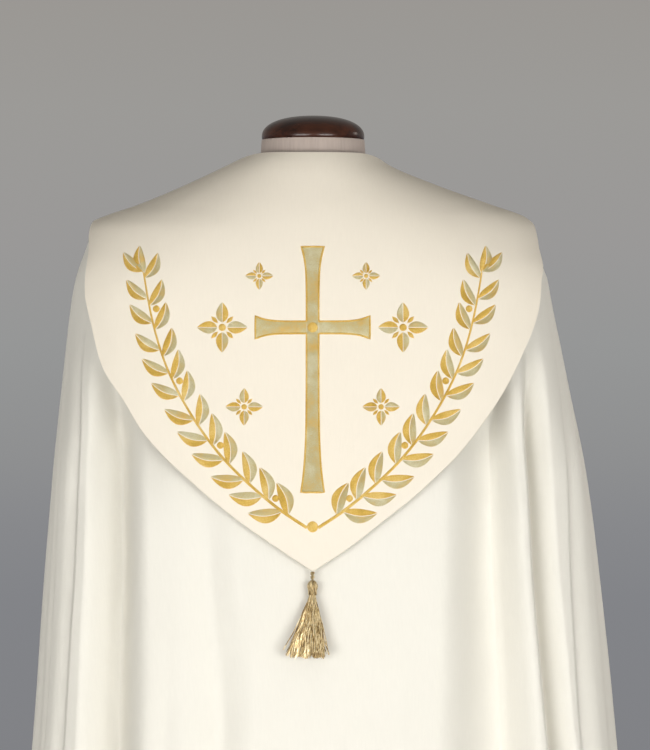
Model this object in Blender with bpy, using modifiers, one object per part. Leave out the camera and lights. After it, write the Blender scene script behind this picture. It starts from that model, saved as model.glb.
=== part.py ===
"""A cope, the full-length cloak of church ceremony, with a shield-shaped hood and a
tassel, hanging on a limbless dress form with its stand.

Blender 4.5, metres, +Z up. The origin is the centre of the stand's underside. -Y is
the wearer's back, where the hood lies, and +X is the wearer's right.

Places on the cloth are given by a turn and a height. The turn is in degrees about the
upright axis through the neck: 0 is the centre back, positive towards +X. Turns in the
tables are nominal: FRONT_TURN is the edge of the front opening at every height.
"""

import math

import bmesh
import bpy
import numpy as np


def table(columns, *rows):
    """The rows as one array for each named column."""
    return dict(zip(columns.split(), np.array(rows, float).T))


# ---------------------------------------------------------------- driving dimensions
SEAM_GAP = 0.0010
JOINT_GAP = 0.0003
CLOTH = 0.002
FRONT_TURN = 170.0

NECK_EDGE_BACK = 1.4955
NECK_EDGE_DROP = 0.036
NECK_EDGE_POWER = 2.8
HEM_BACK = 0.055
HEM_FRONT = 0.085
HEM_SIDE_RISE = 0.050

# Level sections through the cloak's outermost folds: how far they reach from the
# axis to each side, behind and in front, and how square they are (2 is an ellipse).
SECTIONS = table(
    "height left right back front square",
    (0.050, 0.442, 0.457, 0.337, 0.314, 2.20),
    (0.300, 0.395, 0.415, 0.287, 0.269, 2.25),
    (0.600, 0.346, 0.371, 0.232, 0.218, 2.50),
    (0.834, 0.3150, 0.3415, 0.197, 0.180, 2.90),
    (1.002, 0.3045, 0.3235, 0.177, 0.157, 2.90),
    (1.170, 0.2905, 0.3015, 0.157, 0.137, 3.30),
    (1.282, 0.2795, 0.281, 0.143, 0.123, 3.90),
    (1.338, 0.2718, 0.269, 0.135, 0.112, 4.00),
    (1.362, 0.2670, 0.2642, 0.130, 0.106, 3.70),
    (1.388, 0.2575, 0.2525, 0.123, 0.097, 3.10),
    (1.412, 0.2475, 0.2435, 0.115, 0.088, 2.50),
    (1.4225, 0.229, 0.233, 0.111, 0.083, 2.25),
    (1.436, 0.194, 0.199, 0.105, 0.077, 2.10),
    (1.460, 0.140, 0.135, 0.092, 0.066, 2.00),
    (1.484, 0.090, 0.080, 0.077, 0.060, 2.00),
    (1.497, 0.064, 0.063, 0.065, 0.057, 2.00),
)

# Half the gap between the two front edges.
FRONT_OPENING = table(
    "height half_gap",
    (0.050, 0.100),
    (0.450, 0.068),
    (0.834, 0.036),
    (1.170, 0.011),
    (1.280, 0.006),
    (1.330, 0.006),
    (1.400, 0.018),
    (1.470, 0.036),
    (1.500, 0.040),
)

# The valleys between the hanging folds, from the left front edge round the back to the
# right front edge. Turns, depths and half widths are at chest, hip and hem height, and
# each valley fades out at its start height.
CHEST_HEIGHT, HIP_HEIGHT, HEM_HEIGHT = 1.170, 0.834, 0.060
VALLEY_ROUND = 0.20
VALLEY_POWER = 1.75
FOLDS = table(
    "chest_turn hip_turn hem_turn start chest_depth hip_depth hem_depth chest_half hip_half hem_half lean",
    (-153.5, -152.5, -152.0, 1.24, 0.010, 0.024, 0.080, 6.0, 6.5, 8.5, 0.00),
    (-132.0, -132.0, -132.0, 1.32, 0.018, 0.036, 0.104, 7.0, 7.5, 8.5, 0.00),
    (-111.0, -111.0, -112.5, 1.35, 0.020, 0.042, 0.112, 6.5, 6.5, 8.8, 0.00),
    (-90.0, -89.5, -94.0, 1.35, 0.014, 0.028, 0.088, 5.5, 5.5, 8.0, 0.00),
    (-73.5, -73.0, -76.5, 1.34, 0.003, 0.003, 0.098, 2.4, 2.4, 7.5, 0.30),
    (-66.5, -66.4, -59.5, 1.35, 0.004, 0.004, 0.090, 2.4, 2.6, 7.5, 0.50),
    (-55.8, -52.8, -42.0, 1.32, 0.038, 0.046, 0.100, 6.6, 8.0, 8.0, -0.35),
    (-37.5, -27.6, -23.5, 1.22, 0.003, 0.015, 0.090, 8.0, 11.0, 9.0, 0.00),
    (2.0, 5.0, 2.0, 0.84, 0.000, 0.000, 0.098, 8.0, 8.0, 11.0, 0.00),
    (49.5, 46.0, 34.3, 1.32, 0.036, 0.045, 0.102, 7.4, 11.0, 12.5, 0.30),
    (61.0, 61.2, 55.5, 1.34, 0.028, 0.030, 0.098, 3.2, 3.4, 8.0, 0.00),
    (71.0, 68.4, 73.5, 1.38, 0.005, 0.006, 0.104, 3.0, 3.2, 8.0, -0.50),
    (92.0, 91.5, 92.0, 1.36, 0.016, 0.032, 0.092, 6.0, 6.0, 8.0, 0.00),
    (113.0, 113.5, 114.0, 1.34, 0.020, 0.042, 0.116, 7.5, 7.5, 9.5, 0.00),
    (134.0, 134.5, 136.0, 1.28, 0.016, 0.034, 0.090, 7.0, 7.0, 8.0, 0.00),
    (155.0, 154.5, 154.5, 1.20, 0.005, 0.022, 0.084, 5.5, 5.5, 8.0, 0.00),
)
FOLD_STEPS = (-1.0, -0.7, -0.42, -0.15, 0.15, 0.42, 0.7, 1.0)
LEFT_SEAM_AFTER, RIGHT_SEAM_AFTER = 2, 12
WIDE_CREST = 9.5
EDGE_STRIP = 0.0025

# Lengths down the cloth from the neck edge, and then shares of the rest down to the hem.
SHOULDER_ROWS = (0.0, 0.03, 0.065, 0.11, 0.15, 0.18, 0.20, 0.22, 0.25, 0.30, 0.37)
SKIRT_ROWS = (0.13, 0.31, 0.53, 0.77, 1.0)

# Where the cloak falls in behind the hood's sides: it moves forward by so much, more and
# more from the turn start to the turn full, and less and less from easing to gone.
HOLLOWS = table(
    "start full easing gone height half_height depth",
    (-53, -75, -95, -130, 1.275, 0.140, 0.044),
    (-36, -51, -55, -68, 1.205, 0.120, 0.020),
    (54, 75, 95, 130, 1.280, 0.140, 0.044),
    (36, 50, 54, 67, 1.215, 0.120, 0.020),
)

# The hood: how far down the cloth its edge lies, on the left and right of the centre back.
HOOD_EDGE = table(
    "turn left right",
    (0.0, 0.4720, 0.4720),
    (12.0, 0.4525, 0.4520),
    (25.0, 0.4318, 0.4255),
    (33.0, 0.4155, 0.4085),
    (40.0, 0.3970, 0.3880),
    (45.0, 0.3844, 0.3725),
    (50.0, 0.3670, 0.3530),
    (54.0, 0.3400, 0.3350),
    (58.0, 0.3195, 0.3100),
    (62.0, 0.2770, 0.2810),
    (66.0, 0.2430, 0.2475),
    (70.0, 0.2230, 0.2340),
    (76.0, 0.2050, 0.2130),
    (84.0, 0.1880, 0.1940),
    (100.0, 0.1720, 0.1760),
    (130.0, 0.1560, 0.1580),
    (FRONT_TURN, 0.1320, 0.1320),
)
HOOD_TURNS = (0, 7, 15, 24, 33, 42, 51, 58, 64, 69, 74, 78, 82, 86, 90, 94, 98, 103, 109, 117, 128, 141, 156, 169)
HOOD_ROWS = (0.0, 0.09, 0.19, 0.30, 0.41, 0.51, 0.60, 0.68, 0.76, 0.84, 0.92, 1.0)
HOOD_WALL = 0.0025
HOOD_AIR_NECK = 0.0042
HOOD_AIR_TIP = 0.0064

# The morse, the cloth band that closes the fronts at the chest.
MORSE_HEIGHT = 1.298
MORSE_DEPTH = 0.056
MORSE_HALF_TURN = 33.0
MORSE_AIR = 0.0012
MORSE_ROWS, MORSE_COLUMNS = 3, 13

# The dress form: level sections from its flat bottom to the top of its neck.
FORM = table(
    "height side back front square",
    (0.800, 0.176, 0.112, 0.100, 2.2),
    (0.806, 0.180, 0.116, 0.104, 2.2),
    (0.900, 0.184, 0.125, 0.110, 2.3),
    (0.980, 0.170, 0.116, 0.104, 2.3),
    (1.070, 0.152, 0.106, 0.099, 2.3),
    (1.160, 0.163, 0.118, 0.109, 2.3),
    (1.240, 0.184, 0.130, 0.117, 2.4),
    (1.300, 0.203, 0.132, 0.114, 2.4),
    (1.350, 0.222, 0.126, 0.103, 2.3),
    (1.385, 0.231, 0.117, 0.091, 2.15),
    (1.405, 0.229, 0.110, 0.082, 2.05),
    (1.420, 0.203, 0.104, 0.075, 2.0),
    (1.440, 0.150, 0.093, 0.066, 2.0),
    (1.458, 0.104, 0.081, 0.060, 2.0),
    (1.475, 0.074, 0.067, 0.0575, 2.0),
    (1.490, 0.060, 0.0585, 0.0575, 2.0),
    (1.517, 0.0575, 0.0575, 0.0575, 2.0),
)
FORM_SIDES = 40

CAP_RADIUS = 0.0575
CAP_HEIGHT = 0.0268
CAP_RIM = 0.003
CAP_SQUARE = 2.3
CAP_STEPS = 7

POLE_RADIUS = 0.016
BASE_RADIUS = 0.200
BASE_THICK = 0.024
BASE_ROUND = 0.008
SOCKET_RADIUS = 0.030
SOCKET_HEIGHT = 0.035
TURNED_STEPS = 40

# The tassel, which hangs from the hood's point and rests on the cloth.
TASSEL_CORD_LENGTH = 0.0090
TASSEL_CORD_RADIUS = 0.0011
TASSEL_CORD_TWIST = 0.0009
TASSEL_HEAD_RADIUS = 0.0058
TASSEL_HEAD_HEIGHT = 0.0155
TASSEL_WAIST_RADIUS = 0.0037
TASSEL_SKIRT = 0.0690
TASSEL_HALF_WIDTH = 0.0268
TASSEL_HALF_DEPTH = 0.0095
TASSEL_STRANDS = 66
STRAND_ROOT_RADIUS = 0.0003
STRAND_END_RADIUS = 0.0006
TASSEL_LEAN = math.radians(7.0)
TASSEL_CLEAR = 0.0065

IVORY = (0.86, 0.84, 0.78, 1)
CREAM = (0.90, 0.86, 0.76, 1)
GOLD = (0.62, 0.42, 0.16, 1)
LINEN = (0.42, 0.37, 0.33, 1)
MAHOGANY = (0.045, 0.014, 0.009, 1)
STEEL = (0.55, 0.55, 0.56, 1)


# ---------------------------------------------------------------- numbers and shapes
def smooth(xs, ys, x):
    """A curve through the points (xs, ys) that never overshoots them, read at x."""
    gaps = np.diff(xs)
    rises = np.diff(ys) / gaps
    slopes = np.concatenate([rises[:1], np.zeros(len(xs) - 2), rises[-1:]])
    for i in range(1, len(xs) - 1):
        before, after = rises[i - 1], rises[i]
        if before * after > 0:
            near, far = 2 * gaps[i] + gaps[i - 1], gaps[i] + 2 * gaps[i - 1]
            slopes[i] = (near + far) / (near / before + far / after)
    x = np.clip(x, xs[0], xs[-1])
    k = np.clip(np.searchsorted(xs, x, side="right") - 1, 0, len(xs) - 2)
    t = (x - xs[k]) / gaps[k]
    start = (1 + 2 * t) * (1 - t) ** 2 * ys[k] + t * (1 - t) ** 2 * gaps[k] * slopes[k]
    end = t * t * (3 - 2 * t) * ys[k + 1] + t * t * (t - 1) * gaps[k] * slopes[k + 1]
    return start + end


def read(rows, column, height):
    return smooth(rows["height"], rows[column], height)


def oval(turn, side, depth, square):
    """Distance from the axis to a rounded section, in the direction of turn (radians)."""
    across = np.abs(np.sin(turn) / side) ** square
    along = np.abs(np.cos(turn) / depth) ** square
    return (across + along) ** (-1 / square)


def crest_radius(turn, height):
    """Distance from the axis to the cloak's outermost folds."""
    side = np.where(turn < 0, read(SECTIONS, "left", height), read(SECTIONS, "right", height))
    depth = np.where(np.cos(turn) > 0, read(SECTIONS, "back", height), read(SECTIONS, "front", height))
    return oval(turn, side, depth, read(SECTIONS, "square", height))


def true_turn(nominal, height):
    """Radians about the axis for a nominal turn in degrees, squeezed by the front opening."""
    gap = read(FRONT_OPENING, "half_gap", height)
    edge = math.pi - np.arctan2(gap, read(SECTIONS, "front", height))
    return nominal / FRONT_TURN * edge


def on_crests(nominal, height):
    turn = true_turn(nominal, height)
    radius = crest_radius(turn, height)
    return np.stack([radius * np.sin(turn), -radius * np.cos(turn), height + 0 * turn], -1)


def ease(x):
    """0 up to x = 0, 1 from x = 1, and smooth between them."""
    x = np.clip(x, 0, 1)
    return x * x * (3 - 2 * x)


def unit(vectors):
    return vectors / np.linalg.norm(vectors, axis=-1, keepdims=True)


def outward(nominal, height, level):
    """The outward normal of the crest surface, or only its level part."""
    step, drop = 0.5, 0.002
    around = on_crests(nominal + step, height) - on_crests(nominal - step, height)
    if level:
        down = np.broadcast_to([0.0, 0.0, -1.0], around.shape)
    else:
        down = on_crests(nominal, height - drop) - on_crests(nominal, height + drop)
    return unit(np.cross(down, around))


def fold_column(name, fold, height):
    """A fold's turn or half width at a height, by a curve through its values at three heights."""
    heights = np.array([HEM_HEIGHT, HIP_HEIGHT, CHEST_HEIGHT])
    values = np.array([FOLDS[f"{place}_{name}"][fold] for place in ("hem", "hip", "chest")])
    return smooth(heights, values, height)


def fold_turn(fold, height):
    return fold_column("turn", fold, height)


def fold_half(fold, height):
    """Half of a valley's width, in degrees of turn."""
    return fold_column("half", fold, height)


def fold_depth(fold, height):
    start = max(FOLDS["start"][fold], HIP_HEIGHT + 0.02)
    heights = [HEM_HEIGHT, HIP_HEIGHT, start, start + 0.1]
    depths = [FOLDS["hem_depth"][fold], FOLDS["hip_depth"][fold], 0, 0]
    if start > CHEST_HEIGHT + 0.02:
        heights.insert(2, CHEST_HEIGHT)
        depths.insert(2, FOLDS["chest_depth"][fold])
    return smooth(np.array(heights), np.array(depths), height)


def valley(offset, lean=0.0):
    """A valley's cross-section: 1 at its bottom, which is at lean, and 0 at its rims at -1 and 1."""
    offset = np.clip(offset, -1, 1)
    away = np.abs(offset - lean) / np.where(offset < lean, 1 + lean, 1 - lean)
    rise = (np.hypot(away, VALLEY_ROUND) - VALLEY_ROUND) / (math.hypot(1, VALLEY_ROUND) - VALLEY_ROUND)
    return (1 - rise) ** VALLEY_POWER


def hollow_shift(nominal, height):
    """How far the cloak lies forward of its crest surface behind the hood's sides."""
    shift = 0
    for i in range(len(HOLLOWS["start"])):
        start, full, easing, gone = (HOLLOWS[name][i] for name in ("start", "full", "easing", "gone"))
        across = ease((nominal - start) / (full - start)) * ease((nominal - gone) / (easing - gone))
        along = np.clip((height - HOLLOWS["height"][i]) / HOLLOWS["half_height"][i], -1, 1)
        shift = shift + HOLLOWS["depth"][i] * across * (1 - along**2) ** 2
    return shift


def on_cloak(nominal, height):
    """A point of the cloak's outer face, folds included."""
    depth = 0
    for fold in range(len(FOLDS["start"])):
        offset = (nominal - fold_turn(fold, height)) / fold_half(fold, height)
        depth = depth + fold_depth(fold, height) * valley(offset, FOLDS["lean"][fold])
    points = on_crests(nominal, height) - outward(nominal, height, level=True) * depth[..., None]
    points[..., 1] += hollow_shift(nominal, height)
    return points


def neck_height(nominal):
    forward = 0.5 - 0.5 * np.cos(np.radians(nominal))
    return NECK_EDGE_BACK - NECK_EDGE_DROP * forward**NECK_EDGE_POWER


def hem_height(nominal):
    turn = np.radians(nominal)
    level = (HEM_BACK + HEM_FRONT) / 2 + (HEM_BACK - HEM_FRONT) / 2 * np.cos(turn)
    return level + HEM_SIDE_RISE * np.sin(turn) ** 2


def heights_down(turn_at, lengths=(), shares=()):
    """Heights reached by following the cloth down from the neck edge, at the given lengths
    and then at shares of what is left to the hem. turn_at gives the nominal turn at a height."""
    top_turn = float(turn_at(np.array(NECK_EDGE_BACK)))
    heights = np.linspace(neck_height(top_turn), hem_height(top_turn), 700)
    points = on_crests(turn_at(heights), heights)
    run = np.concatenate([[0], np.cumsum(np.linalg.norm(np.diff(points, axis=0), axis=1))])
    rest = run[-1] - max(lengths, default=0)
    targets = [*lengths, *(max(lengths, default=0) + share * rest for share in shares)]
    return np.interp(targets, run, heights)


# ---------------------------------------------------------------- Blender helpers
def clear_scene():
    for old in list(bpy.data.objects):
        bpy.data.objects.remove(old, do_unlink=True)


def finish_material(name, colour, roughness, metallic=0.0):
    material = bpy.data.materials.new(name)
    material.use_nodes = True
    shader = material.node_tree.nodes["Principled BSDF"]
    shader.inputs["Base Color"].default_value = colour
    shader.inputs["Roughness"].default_value = roughness
    shader.inputs["Metallic"].default_value = metallic
    return material


def add_object(name, mesh, material, collection, smooth_angle=50):
    obj = bpy.data.objects.new(name, mesh)
    collection.objects.link(obj)
    mesh.materials.append(material)
    mesh.shade_smooth()
    mesh.set_sharp_from_angle(angle=math.radians(smooth_angle))
    return obj


def loft(name, rows, ring=False, caps=False):
    """A mesh of quads through sections of equal point counts, the first one on top."""
    rows = np.asarray(rows)
    count, width = rows.shape[:2]
    mesh = bmesh.new()
    grid = [[mesh.verts.new(point) for point in row] for row in rows]
    for upper, lower in zip(grid, grid[1:]):
        for i in range(width if ring else width - 1):
            j = (i + 1) % width
            mesh.faces.new((upper[i], lower[i], lower[j], upper[j]))
    if caps:
        mesh.faces.new(grid[0])
        mesh.faces.new(list(reversed(grid[count - 1])))
    data = bpy.data.meshes.new(name)
    mesh.to_mesh(data)
    mesh.free()
    return data


def thicken(obj, wall):
    """Gives an open sheet its wall, inwards from the face that shows."""
    shell = obj.modifiers.new("wall", "SOLIDIFY")
    shell.thickness = wall
    shell.offset = -1
    shell.use_even_offset = True
    return obj


def turned(name, profile, place, material, collection):
    """A solid turned about Z from (radius, height) points, top to bottom."""
    data = bpy.data.meshes.new(name)
    points = [(radius, 0, height) for radius, height in profile]
    data.from_pydata(points, [(i, i + 1) for i in range(len(points) - 1)], [])
    obj = bpy.data.objects.new(name, data)
    collection.objects.link(obj)
    data.materials.append(material)
    obj.location = place
    screw = obj.modifiers.new("turn", "SCREW")
    screw.axis = "Z"
    screw.steps = screw.render_steps = TURNED_STEPS
    screw.use_merge_vertices = True
    screw.merge_threshold = 0.0001
    screw.use_smooth_shade = True
    return obj


def tube_mesh(name, paths, radius, end_radius, sides_level):
    """Closed tubes along lists of points, welded at their caps, as one mesh."""
    curve = bpy.data.curves.new(name, "CURVE")
    curve.dimensions = "3D"
    curve.bevel_depth = radius
    curve.bevel_resolution = sides_level
    curve.use_fill_caps = True
    for path in paths:
        spline = curve.splines.new("POLY")
        spline.points.add(len(path) - 1)
        sizes = np.linspace(1, end_radius / radius, len(path))
        for point, place, size in zip(spline.points, path, sizes):
            point.co = (*place, 1)
            point.radius = size
    holder = bpy.data.objects.new(name, curve)
    bpy.context.scene.collection.objects.link(holder)
    graph = bpy.context.evaluated_depsgraph_get()
    data = bpy.data.meshes.new_from_object(holder.evaluated_get(graph))
    bpy.data.objects.remove(holder)
    welded = bmesh.new()
    welded.from_mesh(data)
    bmesh.ops.remove_doubles(welded, verts=welded.verts, dist=1e-5)
    welded.to_mesh(data)
    welded.free()
    return data


# ---------------------------------------------------------------- the cloak
def cloak_lines():
    """The lines of points that run down the cloak, from the left front edge round the back
    to the right one: each is a function from height to nominal turn. A valley has
    FOLD_STEPS of them, and the crest after it has one or more. Returned in three panels."""
    folds = len(FOLDS["start"])

    def in_fold(fold, step):
        return lambda height: fold_turn(fold, height) + step * fold_half(fold, height)

    def between(first, second, share):
        return lambda height: (1 - share) * first(height) + share * second(height)

    def beside(line, distance):
        def shifted(height):
            radius = crest_radius(true_turn(line(height), height), height)
            return line(height) + np.degrees(distance / radius)

        return shifted

    def edge(turn):
        return lambda height: turn + 0 * height

    panels, lines = [], []
    left_edge, right_edge = edge(-FRONT_TURN), edge(FRONT_TURN)
    lines += [left_edge, beside(left_edge, EDGE_STRIP)]
    lines += [between(left_edge, in_fold(0, -1), 0.5)]
    for fold in range(folds):
        lines += [in_fold(fold, step) for step in FOLD_STEPS]
        if fold == folds - 1:
            break
        rim, next_rim = in_fold(fold, 1), in_fold(fold + 1, -1)
        if fold in (LEFT_SEAM_AFTER, RIGHT_SEAM_AFTER):
            seam = between(rim, next_rim, 0.5)
            lines += [beside(seam, -EDGE_STRIP), beside(seam, -SEAM_GAP / 2)]
            panels.append(lines)
            lines = [beside(seam, SEAM_GAP / 2), beside(seam, EDGE_STRIP)]
            continue
        gap = next_rim(np.array(HIP_HEIGHT)) - rim(np.array(HIP_HEIGHT))
        crest_lines = max(1, round(float(gap) / WIDE_CREST))
        lines += [between(rim, next_rim, (i + 1) / (crest_lines + 1)) for i in range(crest_lines)]
    lines += [between(right_edge, in_fold(folds - 1, 1), 0.5)]
    lines += [beside(right_edge, -EDGE_STRIP), right_edge]
    panels.append(lines)
    return panels


def cloak_panel(name, lines, material, collection):
    columns = []
    for line in lines:
        heights = heights_down(line, SHOULDER_ROWS, SKIRT_ROWS)
        columns.append(on_cloak(line(heights), heights))
    rows = np.swapaxes(np.array(columns), 0, 1)
    return thicken(add_object(name, loft(name, rows), material, collection), CLOTH)


def build_cloak(material, collection):
    names = ("cope_left_front", "cope_back", "cope_right_front")
    for name, lines in zip(names, cloak_lines()):
        cloak_panel(name, lines, material, collection)


# ---------------------------------------------------------------- the hood and the morse
def on_hood(nominal, height, share, extra=0.0):
    """A point of the hood's outer face: share is 0 at the neck and 1 at the hood's edge."""
    lift = HOOD_AIR_NECK + (HOOD_AIR_TIP - HOOD_AIR_NECK) * share**2 + HOOD_WALL + extra
    return on_crests(nominal, height) + outward(nominal, height, level=False) * np.expand_dims(lift, -1)


def build_hood(material, collection):
    turns = [-turn for turn in reversed(HOOD_TURNS[1:])] + list(HOOD_TURNS)
    shares = np.array(HOOD_ROWS)
    columns = []
    for turn in turns:
        side = "left" if turn < 0 else "right"
        down = smooth(HOOD_EDGE["turn"], HOOD_EDGE[side], abs(turn)) * shares
        heights = heights_down(lambda height, turn=turn: turn + 0 * height, tuple(down))
        columns.append(on_hood(turn + 0 * heights, heights, shares))
    rows = np.swapaxes(np.array(columns), 0, 1)
    thicken(add_object("hood", loft("hood", rows), material, collection), HOOD_WALL)


def build_morse(material, collection):
    """The band follows the crests across the front opening, a little clear of them."""
    rows = []
    for step in np.linspace(0.5, -0.5, MORSE_ROWS):
        height = MORSE_HEIGHT + step * MORSE_DEPTH
        turn = math.pi + np.radians(np.linspace(-MORSE_HALF_TURN, MORSE_HALF_TURN, MORSE_COLUMNS))
        turn = np.where(turn > math.pi, turn - 2 * math.pi, turn)
        radius = crest_radius(turn, height) + MORSE_AIR + CLOTH
        rows.append(np.stack([radius * np.sin(turn), -radius * np.cos(turn), 0 * turn + height], -1))
    thicken(add_object("morse_band", loft("morse_band", rows), material, collection), CLOTH)


# ---------------------------------------------------------------- the tassel
def hood_point():
    """The hood's point: the middle of its wall's lower edge at the centre back."""
    height = heights_down(lambda height: 0 * height, (HOOD_EDGE["left"][0],))
    return on_hood(np.zeros(1), height, np.ones(1), extra=-HOOD_WALL / 2)[0]


def tassel_frame():
    """Where the tassel hangs from, and its directions: down along the cloth, and away from it."""
    down = np.array([0.0, -math.sin(TASSEL_LEAN), -math.cos(TASSEL_LEAN)])
    away = np.array([0.0, -math.cos(TASSEL_LEAN), math.sin(TASSEL_LEAN)])
    return hood_point() + 0.0011 * down, down, away


def strand_path(index, waist, down, away):
    """A strand from inside the head down to the skirt's end, in a sunflower layout."""
    across = np.array([1.0, 0.0, 0.0])
    spread = math.sqrt((index + 0.5) / TASSEL_STRANDS)
    angle = index * math.pi * (3 - math.sqrt(5))
    side, front = spread * math.cos(angle), spread * math.sin(angle)
    root = TASSEL_WAIST_RADIUS - 2 * STRAND_ROOT_RADIUS
    fall = TASSEL_SKIRT * (0.985 + 0.015 * math.sin(7.3 * index))
    points = []
    for share in (-0.05, 0.12, 0.5, 1.0):
        open_up = max(share, 0.0) ** 0.85
        wide = root + (TASSEL_HALF_WIDTH - root) * open_up
        deep = root + (TASSEL_HALF_DEPTH - root) * open_up
        lift = TASSEL_CLEAR * max(share, 0.0)
        points.append(waist + across * side * wide + away * (front * deep + lift) + down * fall * share)
    return points


def build_tassel(material, collection):
    hang, down, away = tassel_frame()
    cord = []
    for step in np.linspace(0, 1, 13):
        twist = 1.5 * math.pi * 2 * step
        swing = TASSEL_CORD_TWIST * math.sin(math.pi * step)
        sideways = np.array([swing * math.cos(twist), 0.0, 0.0])
        cord.append(hang + down * TASSEL_CORD_LENGTH * step + sideways + away * swing * math.sin(twist))
    add_object("tassel_cord", tube_mesh("tassel_cord", [cord], TASSEL_CORD_RADIUS, TASSEL_CORD_RADIUS, 2), material, collection)

    top = hang + down * (TASSEL_CORD_LENGTH + 1.8 * JOINT_GAP)
    waist = top + down * TASSEL_HEAD_HEIGHT
    rings = []
    for share, radius in ((0, 0.45), (0.14, 0.82), (0.38, 1.0), (0.62, 0.86), (0.8, 0.74), (1.0, 0.78)):
        turn = np.linspace(0, 2 * math.pi, 16, endpoint=False)[:, None]
        ring = np.cos(turn) * np.array([1.0, 0, 0]) + np.sin(turn) * away
        rings.append(top + down * TASSEL_HEAD_HEIGHT * share + ring * TASSEL_HEAD_RADIUS * radius)
    head = add_object("tassel", loft("tassel", rings, ring=True, caps=True), material, collection)
    paths = [strand_path(i, waist, down, away) for i in range(TASSEL_STRANDS)]
    tubes = tube_mesh("tassel_strands", paths, STRAND_ROOT_RADIUS, STRAND_END_RADIUS, 0)
    strands = bpy.data.objects.new("tassel_strands", tubes)
    return head, strands


def join_tassel(head, strands, helpers):
    helpers.objects.link(strands)
    strands.hide_render = True
    strands.display_type = "WIRE"
    union = head.modifiers.new("strands", "BOOLEAN")
    union.operation = "UNION"
    union.object = strands


# ---------------------------------------------------------------- the dress form
def build_form(materials, collection):
    turn = np.linspace(0, 2 * math.pi, FORM_SIDES, endpoint=False)
    rings = []
    for height in FORM["height"][::-1]:
        depth = np.where(np.cos(turn) > 0, read(FORM, "back", height), read(FORM, "front", height))
        radius = oval(turn, read(FORM, "side", height), depth, read(FORM, "square", height))
        rings.append(np.stack([radius * np.sin(turn), -radius * np.cos(turn), 0 * turn + height], -1))
    body = loft("form_body", rings, ring=True, caps=True)
    add_object("form_body", body, materials["linen"], collection)

    neck_top = FORM["height"][-1]
    dome = [(0.0, CAP_HEIGHT)]
    for step in range(1, CAP_STEPS + 1):
        angle = math.pi / 2 * step / CAP_STEPS
        rise = CAP_RIM + (CAP_HEIGHT - CAP_RIM) * math.cos(angle) ** (2 / CAP_SQUARE)
        dome.append((CAP_RADIUS * math.sin(angle) ** (2 / CAP_SQUARE), rise))
    dome += [(CAP_RADIUS - 0.001, 0.0), (0.0, 0.0)]
    turned("form_neck_cap", dome, (0, 0, neck_top + JOINT_GAP), materials["wood"], collection)


def build_stand(materials, collection):
    base = [(0.0, BASE_THICK), (BASE_RADIUS - BASE_ROUND, BASE_THICK)]
    for step in range(1, 4):
        angle = math.pi / 2 * step / 3
        edge = BASE_RADIUS - BASE_ROUND + BASE_ROUND * math.sin(angle)
        base.append((edge, BASE_THICK - BASE_ROUND + BASE_ROUND * math.cos(angle)))
    base += [(BASE_RADIUS, 0.0), (0.0, 0.0)]
    turned("stand_base", base, (0, 0, 0), materials["wood"], collection)

    foot = BASE_THICK + JOINT_GAP
    socket = [
        (0.0, SOCKET_HEIGHT),
        (POLE_RADIUS + 0.006, SOCKET_HEIGHT),
        (POLE_RADIUS + 0.006, 0.008),
        (SOCKET_RADIUS, 0.004),
        (SOCKET_RADIUS, 0.0),
        (0.0, 0.0),
    ]
    turned("stand_socket", socket, (0, 0, foot), materials["steel"], collection)

    low = foot + SOCKET_HEIGHT + JOINT_GAP
    high = FORM["height"][0] - JOINT_GAP
    bpy.ops.mesh.primitive_cylinder_add(
        vertices=32, radius=POLE_RADIUS, depth=high - low, location=(0, 0, (high + low) / 2)
    )
    pole = bpy.context.active_object
    pole.name = "stand_pole"
    pole.data.materials.append(materials["steel"])
    pole.data.shade_smooth()
    pole.data.set_sharp_from_angle(angle=math.radians(40))
    for holder in list(pole.users_collection):
        holder.objects.unlink(pole)
    collection.objects.link(pole)


def main():
    clear_scene()
    scene = bpy.context.scene
    parts = bpy.data.collections.new("cope_on_dress_form")
    helpers = bpy.data.collections.new("cutters")
    scene.collection.children.link(parts)
    scene.collection.children.link(helpers)
    materials = {
        "cloak": finish_material("cope_cloth", IVORY, 0.75),
        "hood": finish_material("hood_cloth", CREAM, 0.75),
        "gold": finish_material("gold_thread", GOLD, 0.35, 0.8),
        "linen": finish_material("form_linen", LINEN, 0.9),
        "wood": finish_material("dark_wood", MAHOGANY, 0.25),
        "steel": finish_material("steel", STEEL, 0.35, 1.0),
    }
    build_cloak(materials["cloak"], parts)
    build_hood(materials["hood"], parts)
    build_morse(materials["cloak"], parts)
    head, strands = build_tassel(materials["gold"], parts)
    join_tassel(head, strands, helpers)
    build_form(materials, parts)
    build_stand(materials, parts)


main()
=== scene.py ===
"""The look of a cope on its limbless dress form: cloth, embroidery, tassel, form and stand, in a
plain studio.

Metres, +Z up. -Y is the wearer's back, where the hood lies, and +X is the wearer's right. Places on
the cloth are given by a turn in degrees about the upright axis (0 is the centre back, positive
towards +X) and a height. Turns in the tables are nominal: FRONT_TURN is the edge of the front
opening at every height.
"""

import math

import bpy
import numpy as np
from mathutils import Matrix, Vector
from mathutils.bvhtree import BVHTree


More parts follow.
